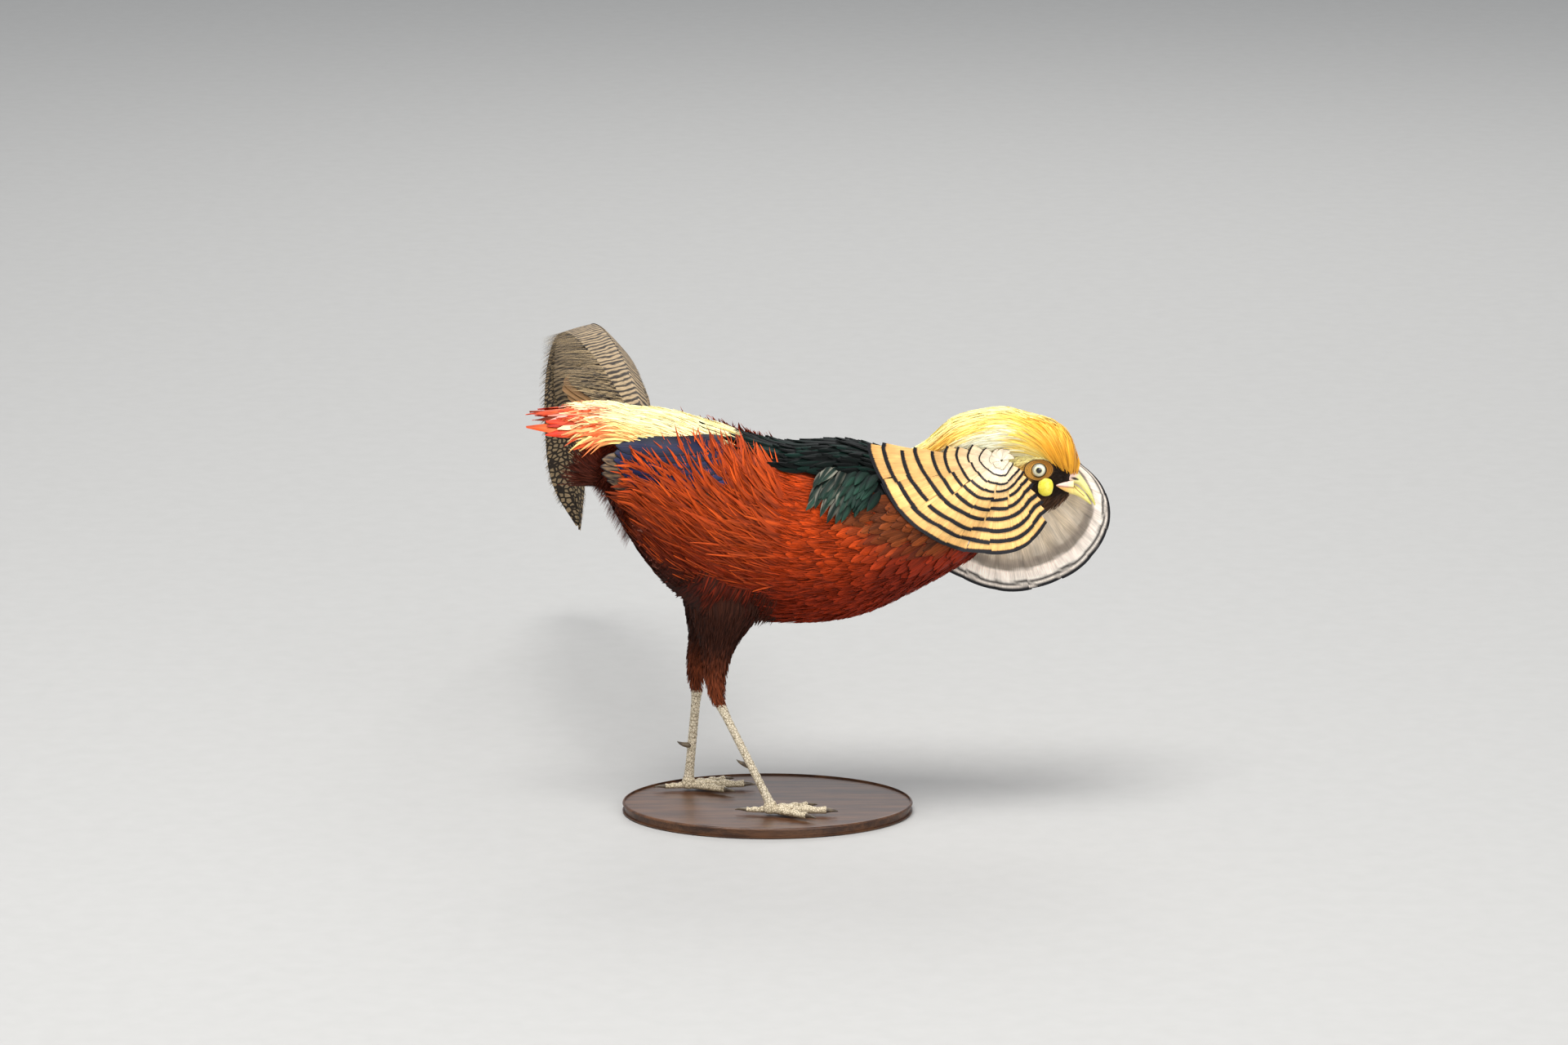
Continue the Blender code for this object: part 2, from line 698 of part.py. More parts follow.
def wing_angle(side, x, share):
    """The angle round the body at a share of the wing's height, from -1 at its lower edge to 1."""
    places, lower, upper = zip(*WING_EDGES)
    low, high = np.interp(x, places, lower), np.interp(x, places, upper)
    height = (low + high) / 2 + share * (high - low) / 2
    if side == LEFT:
        height = height - np.clip(WING_SLOPE * (TAIL_CLEARS - x), 0, WING_DROP)
    top, bottom, _ = np.moveaxis(body.section(np.maximum(x, BODY_END)), -1, 0)
    middle = bottom + WIDEST * (top - bottom)
    rise = np.where(height > middle, top - middle, middle - bottom)
    reach = np.clip((height - middle) / rise, -0.98, 0.98)
    angle = np.arcsin(np.sign(reach) * np.abs(reach) ** (1 / FULLNESS))
    return math.pi - angle if side == LEFT else angle


def build_wings():
    rows = np.array(WING_ROWS, float)
    along, height = stepped(rows[:, 0], rows[:, 2], WING_STEP, WING_FRONT, 0.8)
    along, height = along[:-1, None], height[:-1, None]
    for name, side in SIDES.items():
        angle = wing_angle(side, along, np.linspace(-1, 1, 6)[None, :])
        wing = piece(shell(trailing(along, angle, np.full(angle.shape, -1.5)),
                           trailing(along, angle, height + 0 * angle)))
        feathers = []
        for root, length, level, count in WING_ROWS:
            for k in range(count):
                share = (2 * k + 1) / count - 1
                s = np.array((0, 0.45, 0.85, 1))
                reach = (length - 9 * abs(share - 0.3)) * (LEFT_REACH if side == LEFT else 1.0)
                x = root + SUNK - (reach + SUNK) * s
                angle = wing_angle(side, x, share)
                above = wing_angle(side, x, share + 1 / count)
                below = wing_angle(side, x, share - 1 / count)
                spread = BESIDE * np.abs(above - below) * np.array((0.85, 0.98, 0.88, 0.35))
                feathers.append(piece(vane(trailing, x, angle, spread, level + 1.0 * s)))
        combine(wing, feathers, "UNION")
        combine(wing, [torso_cutter(), rump_cutter()], "DIFFERENCE")
        node("wing_" + name, wing, BLUE)


def rump_cutter():
    """The space of the rump's plumes, which the wing's feathers end short of."""
    x = np.linspace(-16, -190, 12)[:, None]
    angle = rump_angle(np.linspace(-1, 1, 9)[None, :], x, wider=3.0)
    return piece(shell(arched(x, angle, -3.0), arched(x, angle, 12.0)))


def tail_frame(place):
    """Middle line, left and upward directions of the tail, 0 at the root and 1 at the tip.

    They run straight from one of the tail's stations to the next, so that its feathers keep level.
    """
    line = np.asarray(TAIL_LINE, float)
    length = np.concatenate([[0], np.cumsum(np.linalg.norm(np.diff(line, axis=0), axis=1))])
    at = smooth_curve(length / length[-1], line)
    stations = np.asarray(TAIL_STATIONS)
    middle = at(stations)
    ahead = unit(at(np.clip(stations + 0.01, 0, 1)) - at(np.clip(stations - 0.01, 0, 1)))
    left = unit(np.cross(np.array((0, 0, 1.0)), ahead))
    up = np.cross(ahead, left)
    place = np.asarray(place, float)
    return [np.stack([np.interp(place, stations, column) for column in table.T], -1)
            for table in (middle, left, up)]


def tail_point(place, across, lift):
    """A point of the roof-shaped tail: share of its length, sideways place to the right, lift."""
    middle, left, up = tail_frame(place)
    slope = np.where(across < 0, TAIL_SLOPE["left"], TAIL_SLOPE["right"])[..., None]
    out = np.where(np.asarray(across)[..., None] < 0, left, -left) * np.cos(slope) - up * np.sin(slope)
    return middle + np.abs(across)[..., None] * out + np.asarray(lift)[..., None] * up


def tail_feathers():
    feathers = []
    for pair, (share, place, width) in enumerate(RECTRICES):
        for name, side in SIDES.items():
            tip = share * chance.uniform(0.985, 1.0)
            shared = [place for place in TAIL_STATIONS if QUILLS < place < tip - 0.02]
            along = np.array([QUILLS - 0.005] + shared + [tip])
            s = (along - along[0]) / (tip - along[0])
            wide = width * smooth_curve((0, 0.25, 0.5, 0.8, 0.95, 1), (0.16, 0.8, 1, 0.85, 0.5, 0.12))(s)
            fan = ease((along - QUILLS) / 0.17)
            together = ease((along - 0.22) / 0.12)
            apart = place * TAIL_SPREAD[name] * fan
            across = -side * (np.maximum(apart, wide) * (1 - together) + wide * together + 0.3)
            lift = np.full(len(s), -VANE_LEVEL * pair)
            feathers.append(piece(vane(tail_point, along, across, wide, lift)))
    return feathers


def tail_tie(start, end, deep):
    """A short bundle of shafts under the middle of the tail, which joins its feathers."""
    middle, left, up = tail_frame(np.array([start, end]))
    rings = [ring_around(m + u * (0.5 - deep / 2), w, u, 1.7, deep / 2 + 0.6, 6)
             for m, w, u in zip(middle, left, up)]
    return piece(loft(rings))


def tail_root():
    """The stump that the quills leave, from inside the rump to the place where they part."""
    deep = VANE_LEVEL * (len(RECTRICES) - 1)
    middle, left, up = tail_frame(np.array([0.0, 0.02, 0.045, QUILLS]))
    rings = []
    for m, w, u, wide, tall in zip(middle, left, up, (10, 9, 8, 7), (9, 9, 8.5, deep / 2 + 2.5)):
        rings.append(ring_around(m - u * deep / 2, w, u, wide, tall, 10, turn=math.pi / 10))
    return piece(loft(rings))


def build_tail():
    root = tail_root()
    ties = [tail_tie(cut + 0.006, cut + 0.03, deep) for cut, deep in zip(TAIL_CUTS, (4.6, 2.2))]
    combine(root, tail_feathers() + ties, "UNION")
    combine(root, [torso_cutter()], "DIFFERENCE")
    for index, name in enumerate(("tail", "tail_middle", "tail_tip")):
        length = root if index == 2 else piece(([v.co / MM for v in root.data.vertices],
                                                [tuple(f.vertices) for f in root.data.polygons]))
        blocks = []
        if index > 0:
            blocks.append(tail_block(TAIL_CUTS[index - 1], -1))
        if index < 2:
            blocks.append(tail_block(TAIL_CUTS[index], 1))
        combine(length, blocks, "DIFFERENCE")
        node(name, length, BUFF)


def tail_block(place, toward):
    """A block over all of the tail on one side of a cut, toward the tip at 1 or the root at -1."""
    middle, left, up = tail_frame(np.array([place]))
    ahead = np.cross(up[0], left[0]) * -1
    near, far = [], []
    for a in (-400, 400):
        row = [middle[0] + left[0] * a + up[0] * b - ahead * toward * GAP / 2 for b in (-400, 400)]
        near.append(row)
        far.append([p + ahead * toward * 900 for p in row])
    return piece(shell(near, far))


def build_legs():
    for name, side in SIDES.items():
        stations = np.asarray(THIGHS[name], float)
        line = stations[:, :3] * (1, side, 1)
        half = stations[:, 3]
        at = smooth_curve(np.arange(len(line)), np.column_stack([line, half]))
        fine = at(np.linspace(0, len(line) - 1, 10))
        rings = [ring_around(p[:3], (1, 0, 0), (0, 1, 0), p[3], 0.72 * p[3] + 0.9, 12) for p in fine]
        thigh = piece(loft(rings))
        combine(thigh, [torso_cutter()], "DIFFERENCE")
        node("thigh_" + name, thigh, DARK)
        hock = fine[-1]
        ankle = np.array((ANKLES[name][0], side * ANKLES[name][1], ANKLE_HEIGHT + GAP / 2))
        top = np.array((hock[0], hock[1], hock[2] - GAP))
        rings = []
        for s in np.repeat(np.linspace(0, 1, SCUTES + 1), 2)[1:-1] + np.tile((0.0, -0.012), SCUTES):
            lip = SCUTE_STEP if len(rings) % 2 else 0.0
            knuckles = 0.26 * math.exp(-((s / 0.1) ** 2)) + 0.2 * math.exp(-(((1 - s) / 0.1) ** 2))
            wide = SHANK_RADIUS * (1 + knuckles)
            ring = ring_around(top + (ankle - top) * max(s, 0), (1, 0, 0), (0, 1, 0), wide, wide * 0.86, 8)
            ring[:, 0] += lip * np.clip((ring[:, 0] - ring[:, 0].mean()) / wide, 0, 1)
            rings.append(ring)
        rings[-1][:, 2] = ankle[2]
        shank = piece(loft(rings))
        heel = top + (ankle - top) * 0.62
        horn = [heel, heel + (-6, -side * 2.5, 1.0), heel + (-10.5, -side * 4, 3.5)]
        spur = tube(horn, (2.0, 1.5, 0.4), (2.0, 1.5, 0.4), count=6)
        combine(shank, [piece(spur)], "UNION")
        node("shank_" + name, shank, LEG, 0.5)
        build_foot(name, side)


def toe_rings(start, heading, length, radius, tip_share, count=8):
    """Rings of a toe that lies flat on the floor."""
    rings = []
    ahead = np.array((math.cos(heading), math.sin(heading), 0))
    side = np.array((-ahead[1], ahead[0], 0))
    for s in np.linspace(0, 1, 5):
        joint = 1 + 0.1 * math.cos(s * 4 * math.pi)
        r = radius * (1 - (1 - tip_share) * s) * joint
        centre = start + ahead * length * s + np.array((0, 0, r * 0.9))
        ring = ring_around(centre, side, (0, 0, 1), r, r, count, turn=math.pi / count)
        ring[:, 2] = np.maximum(ring[:, 2], 0)
        rings.append(ring)
    return rings, ahead, side


def build_foot(name, side):
    centre = np.array((ANKLES[name][0], side * ANKLES[name][1], 0.0))
    rings = []
    for z, r in ((ANKLE_HEIGHT - GAP / 2, 4.0), (5.0, 4.8), (1.6, 5.1), (0.0, 4.2)):
        rings.append(ring_around(centre + (0, 0, z), (1, 0, 0), (0, 1, 0), r, r, 10))
    foot = piece(loft(rings))
    toes = []
    for toe, turn, length, radius in TOES:
        heading = math.radians(turn) * (-side) * 1.0
        rings, ahead, across = toe_rings(centre, heading, length + 2, radius, 0.72)
        toes.append(piece(loft(rings)))
        tip = centre + ahead * (length + 2 + GAP)
        r = radius * 0.62
        line, wide = [], []
        for s in np.linspace(0, 1, 4):
            arch = r + 0.9 * math.sin(s * 2.2) - r * 0.65 * s
            line.append(tip + ahead * CLAW_LENGTH * s + np.array((0, 0, arch)))
            wide.append(r * (1 - s) ** 0.7 * 0.9 + 0.35)
        claw = loft([ring_around(p, across, (0, 0, 1), w * 0.8, min(w, p[2]), 5)
                     for p, w in zip(line, wide)])
        node("claw_" + name + "_" + toe, piece(claw), DARK, 0.4)
    combine(foot, toes, "UNION")
    node("foot_" + name, foot, LEG, 0.5)


BASE_SIZE = (104.0, 76.0, 8.0)  # half length, half width and thickness of the base under the feet
BASE_CENTRE = (-6.0, 0.0)
BASE_EDGE = 1.5


def build_base():
    """A plain oval board under the feet: the bird's weight lies ahead of its toes."""
    long, wide, thick = BASE_SIZE
    rings = []
    for z, inset in ((-thick, BASE_EDGE), (BASE_EDGE - thick, 0), (-BASE_EDGE, 0), (0, BASE_EDGE)):
        centre = (BASE_CENTRE[0], BASE_CENTRE[1], z - GAP)
        rings.append(ring_around(centre, (1, 0, 0), (0, 1, 0), long - inset, wide - inset, 32))
    node("stand_base", piece(loft(rings)), WOOD, 0.5)


def stand_on_origin():
    """Moves the whole bird so that the middle of its box is over the origin."""
    low = np.full(3, np.inf)
    high = np.full(3, -np.inf)
    for obj in made.values():
        points = np.array([v.co for v in obj.data.vertices])
        low, high = np.minimum(low, points.min(0)), np.maximum(high, points.max(0))
    shift = -(low + high) / 2
    shift[2] = -low[2]
    for obj in made.values():
        for v in obj.data.vertices:
            v.co += type(v.co)(shift)
        obj.data.update()


clear_scene()
build_torso()
build_rump()
build_neck("right")
build_neck("left")
build_head()
build_bill()
build_eyes_and_wattles()
build_wings()
build_tail()
build_legs()
build_base()
stand_on_origin()
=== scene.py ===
# Golden pheasant cock in sideways display: plumage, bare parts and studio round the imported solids.
# Places and sizes are in millimetres in the bird's own axes: bill toward +X, its left toward +Y,
# soles at z = 0. SHIFT and MM turn them into the frame's metres when a mesh is made.
from math import ceil, cos, exp, pi, radians, sin, sqrt

import bpy
import numpy as np
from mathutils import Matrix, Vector

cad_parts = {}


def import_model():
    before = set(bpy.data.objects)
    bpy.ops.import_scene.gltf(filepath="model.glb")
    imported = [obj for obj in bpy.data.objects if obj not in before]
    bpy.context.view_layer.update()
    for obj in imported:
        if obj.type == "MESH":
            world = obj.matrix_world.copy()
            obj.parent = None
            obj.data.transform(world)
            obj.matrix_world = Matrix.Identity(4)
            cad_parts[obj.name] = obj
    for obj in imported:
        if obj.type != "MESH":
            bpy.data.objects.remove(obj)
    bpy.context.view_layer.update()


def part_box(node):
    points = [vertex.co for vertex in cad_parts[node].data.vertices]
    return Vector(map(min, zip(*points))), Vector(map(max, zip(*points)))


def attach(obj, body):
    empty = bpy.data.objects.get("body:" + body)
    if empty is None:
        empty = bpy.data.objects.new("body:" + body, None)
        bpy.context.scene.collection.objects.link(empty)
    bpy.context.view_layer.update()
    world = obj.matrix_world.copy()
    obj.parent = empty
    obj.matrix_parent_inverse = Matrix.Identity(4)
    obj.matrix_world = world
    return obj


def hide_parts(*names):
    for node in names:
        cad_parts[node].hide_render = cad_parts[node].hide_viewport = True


MM = 0.001
RIGHT, LEFT = -1, 1
SIDES = {"right": RIGHT, "left": LEFT}
EAR = (159.5, 19.0, 254.0)
EYE_CENTRE = EYE_X, EYE_Y, EYE_Z = 186.0, 9.6, 245.5
EYE_RADIUS, IRIS_RADIUS = 6.2, 5.1
ANKLE_HEIGHT = 8.0
GAP = 0.3
FULLNESS = 0.93
WIDEST = 0.52
BODY_END = -100.0

# Outline of the body: forward place, top, bottom, half width
BODY = (
    (-122, 261, 233, 15), (-112, 273, 213, 29), (-95, 281, 184, 39), (-75, 282, 160, 46),
    (-50, 274, 145, 52), (-20, 265, 137, 56), (10, 259.5, 134, 58), (40, 261.5, 135, 57),
    (60, 259.5, 139, 54.5), (80, 254, 147, 50), (100, 249, 157, 44.5), (120, 246.5, 168, 38),
    (142, 249, 182, 29), (158, 257, 198, 21), (163, 260, 202, 19), (172, 265, 208, 16.5),
    (180, 268, 211, 15), (188, 268.5, 213, 13.8), (196, 265, 216, 12), (203, 258, 219.5, 9.6),
    (208, 250, 223, 7.6),
)
# Crest as it lies over the crown and nape: forward place, top, bottom, half width
CREST = (
    (97, 256, 253, 5), (110, 264.5, 253, 13), (122, 276, 254, 19), (145, 284.5, 254, 22),
    (160, 286.5, 252, 21.5), (180, 282, 250, 18.5), (190, 279.5, 247, 16.5), (197, 277, 240, 15),
    (206, 270, 235.4, 12.5), (212, 259, 235, 9), (214.5, 250, 236, 5),
)
# Cape fans: how far the feathers reach from the ear at each angle of the side view, in degrees
CAPE_REACH = {
    "right": ((171, 97), (181, 91), (195, 83), (213, 75.5), (227, 71), (240, 69), (257, 66), (270, 65),
              (283, 63), (297, 57.5), (306, 53.5)),
    "left": ((178, 93), (200, 93), (225, 95), (251, 98.5), (275, 106), (294, 107), (310, 104), (326, 95),
             (340, 77), (349, 58)),
}
CAPE_FLARE = {"right": 0.28, "left": 0.06}
CAPE_OVER = 2.9
# The line of the tail's middle shafts, from the root out to the tip
TAIL_LINE = (
    (-104, 10, 246), (-97, 60, 269), (-108, 130, 290), (-124, 215, 298), (-138, 300, 288),
    (-148, 375, 260), (-156, 440, 217), (-161, 490, 168), (-161, 528, 118), (-156, 560, 66),
)
TAIL_SLOPE = {"right": radians(48), "left": radians(14)}
THIGHS = {
    "right": ((-34, 27, 164, 30), (-35, 28, 148, 26), (-40.5, 29, 122, 12.8), (-43, 30, 104, 8.6),
              (-42, 31, 86, 5.6), (-39.8, 31, 77.5, 4.2)),
    "left": ((-38, 27, 160, 30), (-42, 28, 142, 24), (-50, 29, 116, 12.2), (-55.5, 30, 96, 8.4),
             (-57.5, 31, 82, 5.6), (-56.8, 31, 72.5, 4.2)),
}
ANKLES = {"right": (-4.0, 34.0), "left": (-63.0, 34.0)}
SHANK_RADIUS = 3.3
TOES = (("inner", 26.0, 27.0, 3.1), ("middle", -3.0, 38.0, 3.4), ("outer", -32.0, 28.0, 3.1),
        ("hind", 172.0, 15.0, 2.4))
CLAW_LENGTH = 9.0

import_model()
SHIFT = np.mean(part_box("eye_right"), axis=0) - MM * np.array((EYE_X, -EYE_Y, EYE_Z))
chance = np.random.default_rng(5)
vary = chance.uniform
TURN = 2 * pi
X, Y, Z = np.eye(3)
AROUND = np.arange(96) * TURN / 96


def paint(red, green, blue):
    """A colour given in screen values from 0 to 255, as linear light."""
    v = np.array((red, green, blue), float) / 255
    return np.where(v <= 0.04045, v / 12.92, ((v + 0.055) / 1.055) ** 2.4)


def light(colour):
    """Linear light: a tuple holds screen values from 0 to 255, and an array is light already."""
    return paint(*colour) if isinstance(colour, tuple) else colour


def mix(base, *layers):
    """Lays colours over a base; layers are colours, each with the share that it takes."""
    base = light(base)
    for colour, share in zip(layers[::2], layers[1::2]):
        base = base + (light(colour) - base) * np.clip(np.asarray(share, float), 0, 1)[..., None]
    return base


def ease(t):
    t = np.clip(t, 0, 1)
    return t * t * (3 - 2 * t)


def unit(v):
    v = np.asarray(v, float)
    return v / (np.linalg.norm(v, axis=-1, keepdims=True) + 1e-12)


def table(*pairs):
    """A function that runs straight between pairs of place and value."""
    knots, values = zip(*pairs)
    return lambda x: np.interp(x, knots, values)


def value(number_or_table, *place):
    return number_or_table(*place) if callable(number_or_table) else number_or_table


def grid(rows, columns, first=0.0):
    """Places from root to tip and from edge to edge, shaped to spread over a coat's feathers."""
    return np.linspace(first, 1, rows)[None, :, None], np.linspace(-1, 1, columns)[None, None, :]


def smooth_curve(knots, values):
    """A function that runs smoothly through the values at the knots."""
    knots = np.asarray(knots, float)
    values = np.asarray(values, float)
    slopes = np.gradient(values, knots, axis=0)

    def at(place):
        place = np.clip(np.asarray(place, float), knots[0], knots[-1])
        i = np.clip(np.searchsorted(knots, place, side="right") - 1, 0, len(knots) - 2)
        span = knots[i + 1] - knots[i]
        t = (place - knots[i]) / span
        if values.ndim > 1:
            t, span = t[..., None], span[..., None]
        a = 2 * t**3 - 3 * t**2 + 1
        b = t**3 - 2 * t**2 + t
        d = t**3 - t**2
        return a * values[i] + b * span * slopes[i] + (1 - a) * values[i + 1] + d * span * slopes[i + 1]

    return at


class Hull:
    """A rounded body that lies along X, given by the height and width of its sections."""

    def __init__(self, stations):
        stations = np.asarray(stations, float)
        self.first, self.last = stations[0, 0], stations[-1, 0]
        self.curve = smooth_curve(stations[:, 0], stations[:, 1:4])

    def section(self, x, z=0.0):
        """Middle height, the rise from there to the top or bottom on z's side, and half width."""
        top, bottom, half = np.moveaxis(self.curve(x), -1, 0)
        middle = bottom + WIDEST * (top - bottom)
        return middle, np.where(z > middle, top - middle, middle - bottom), half

    def bare(self, x, angle):
        x, angle = np.broadcast_arrays(np.asarray(x, float), np.asarray(angle, float))
        middle, rise, half = self.section(x, np.where(np.sin(angle) >= 0, np.inf, -np.inf))
        across, up = (np.sign(v) * np.abs(v) ** FULLNESS for v in (np.cos(angle), np.sin(angle)))
        return np.stack([x, -half * across, middle + rise * up], -1)

    def point(self, x, angle, grow=0.0):
        """Angle 0 is the right side, a quarter turn the top, half a turn the left side."""
        along = self.bare(np.add(x, 1.5), angle) - self.bare(np.subtract(x, 1.5), angle)
        around = self.bare(x, np.add(angle, 0.03)) - self.bare(x, np.subtract(angle, 0.03))
        return self.bare(x, angle) + np.asarray(grow)[..., None] * unit(np.cross(along, around))

    def half_width(self, x, z):
        middle, rise, half = self.section(x, z)
        share = np.clip(np.abs(z - middle) / rise, 0, 1)
        return half * (1 - share ** (2 / FULLNESS)) ** (FULLNESS / 2)


class Limb:
    """The round shape of a thigh. Its places run from zero at the top down to minus its length."""

    def __init__(self, name):
        stations = np.asarray(THIGHS[name], float) * (1, SIDES[name], 1, 1)
        self.line = smooth_curve(np.arange(len(stations)), stations)(np.linspace(0, len(stations) - 1, 60))
        hops = np.linalg.norm(np.diff(self.line[:, :3], axis=0), axis=1)
        self.run = np.concatenate([[0], np.cumsum(hops)])

    def point(self, x, angle, grow):
        x, angle, grow = np.broadcast_arrays(x, angle, grow)
        p = np.stack([np.interp(-x, self.run, self.line[:, k]) for k in range(4)], -1)
        wide, deep = np.maximum(p[..., 3] + grow, 1.6), np.maximum(0.72 * p[..., 3] + 0.9 + grow, 1.6)
        return p[..., :3] + np.stack([np.cos(angle) * wide, np.sin(angle) * deep, 0 * wide], -1)

    def bare(self, x, angle):
        return self.point(x, angle, 0.0)


body = Hull(BODY)
crest = Hull(CREST)
limbs = {name: Limb(name) for name in SIDES}

# How far the plumes raise the rump's upper line, or lower it below zero, by forward place
rump_line = table((-131, 0), (-115, 1.5), (-101, 3.0), (-90, 0), (-78, -2.2), (-66, -2.8), (-50, -1.6),
                  (-34, 0))


def trailing(x, angle, grow):
    """The body's surface, its upper half carried straight on behind its end."""
    held = x + (np.maximum(x, BODY_END) - x) * ease(np.sin(angle) / 0.45 + 1)
    points = body.point(held, angle, grow)
    points[..., 0] += x - held
    return points


def arched(x, angle, grow):
    """The same surface with the arch that the rump's plumes make behind the body's end."""
    points = trailing(x, angle, grow)
    beyond = np.maximum(BODY_END - x, 0)
    near = np.minimum(beyond, 42)
    points[..., 2] += 0.42 * near - 0.0068 * near**2 - 0.16 * (beyond - near) + rump_line(x)
    return points


def world(points):
    return np.asarray(points, float) * MM + SHIFT


def co_of(mesh):
    co = np.empty(len(mesh.vertices) * 3)
    mesh.vertices.foreach_get("co", co)
    return (co.reshape(-1, 3) - SHIFT) / MM


def link(name, data):
    obj = bpy.data.objects.new(name, data)
    bpy.context.scene.collection.objects.link(obj)
    return obj


def place_object(name, mesh, look, replaced=(), tint=None):
    """Puts a mesh in the scene as a piece of the bird; tint gives colours for its points."""
    if tint is not None:
        layer = mesh.attributes.new("tint", "FLOAT_COLOR", "POINT")
        rgba = np.ones((len(mesh.vertices), 4), np.float32)
        rgba[:, :3] = tint(co_of(mesh)) if callable(tint) else tint
        layer.data.foreach_set("color", rgba.ravel())
    mesh.materials.append(look)
    mesh.shade_smooth()
    obj = link(name, mesh)
    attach(obj, "root")
    if replaced:
        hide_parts(*replaced)
    return obj


PATCH = 0.003  # width of a feather's place on the bake map
MAP_START, MAP_SPAN = -130, 350  # the places of the body that the bake map spans
# Margin values of a feather's points: far inside its edge, and where the edge's colour gives way
INSIDE = 9.0
MARGIN = 1.25


class Coat:
    """Gathers feathers, each a grid of points from root to tip, and makes one mesh of them."""

    def __init__(self):
        self.parts = {key: [] for key in ("points", "faces", "tint", "web", "edge", "uv")}
        self.count = self.cells = 0

    def add(self, points, tint, web, edge=INSIDE, root=None, cells=None):
        """Adds feathers; web holds each point's millimetres across and along its feather.

        On the bake map each feather has a patch at root, its place on the unwrapped skin, or a cell
        of its own: cells is then the whole number of them.
        """
        n, rows, columns = shape = points.shape[:3]
        if cells is None:
            corner, size = np.stack(root, -1) * (1 - 2 * PATCH) + PATCH / 2, PATCH
        else:
            side = ceil(sqrt(cells))
            cell = self.cells + np.arange(n)
            corner, size = (np.stack([cell % side, cell // side], -1) + 0.04) / side, 0.92 / side
            self.cells += n
        uv = np.stack(np.meshgrid(np.linspace(0, size, columns), np.linspace(0, size, rows)), -1)
        k = np.arange(rows * columns).reshape(rows, columns)
        quads = np.stack([k[:-1, :-1], k[:-1, 1:], k[1:, 1:], k[1:, :-1]], -1).reshape(-1, 4)
        start = self.count + np.arange(n)[:, None, None] * rows * columns
        seed = chance.random(n)[:, None, None] * 50
        web = np.stack(np.broadcast_arrays(*web, seed, np.empty(shape))[:3], -1)
        for key, part, width in (("points", points, 3), ("faces", quads + start, 4), ("web", web, 3),
                                 ("tint", np.broadcast_to(tint, points.shape), 3),
                                 ("edge", np.broadcast_to(edge, shape), 1),
                                 ("uv", corner[:, None, None] + uv, 2)):
            self.parts[key].append(part.reshape(-1, width))
        self.count += n * rows * columns

    def build(self, name, slot, look, replaced=()):
        """look is a material, or the numbers from which feather_material makes one."""
        look = feather_material(name, *look) if isinstance(look, tuple) else look
        part = {key: np.concatenate(pieces) for key, pieces in self.parts.items()}
        mesh = bpy.data.meshes.new(name)
        mesh.from_pydata(world(part["points"]), [], part["faces"].tolist())
        for key, kind, entry in (("web", "FLOAT_VECTOR", "vector"), ("edge", "FLOAT", "value")):
            layer = mesh.attributes.new(key, kind, "POINT")
            layer.data.foreach_set(entry, part[key].ravel().astype(np.float32))
        uv = part["uv"][part["faces"].ravel()]
        mesh.uv_layers.new(name="OFBake").data.foreach_set("uv", uv.ravel().astype(np.float32))
        return place_object(name, mesh, look, replaced, part["tint"])


def rows_over(first, last, spacing, gap, lowest, highest, hull):
    """Staggered places over one side of a hull: forward place and angle, between two angles of x."""
    places = []
    for i, x in enumerate(np.arange(first, last, -spacing)):
        lower, upper = radians(value(lowest, x)), radians(value(highest, x))
        if upper <= lower:
            continue
        probe = hull.bare(x, np.linspace(lower, upper, 24))
        count = max(1, int(np.linalg.norm(np.diff(probe, axis=0), axis=1).sum() / gap))
        t = (np.arange(count) + 0.25 + 0.5 * (i % 2) + vary(-0.3, 0.3, count)) / count
        t = t[(t > 0) & (t < 1)]
        places.append(np.stack([x + vary(-0.45, 0.45, len(t)) * spacing,
                                lower + (upper - lower) * t], 1))
    return np.concatenate(places)


def on_map(x, angle):
    """A place of the body on the bake map."""
    return [v.ravel() % 1.0 for v in ((x - MAP_START) / MAP_SPAN, angle / TURN + 0.25)]


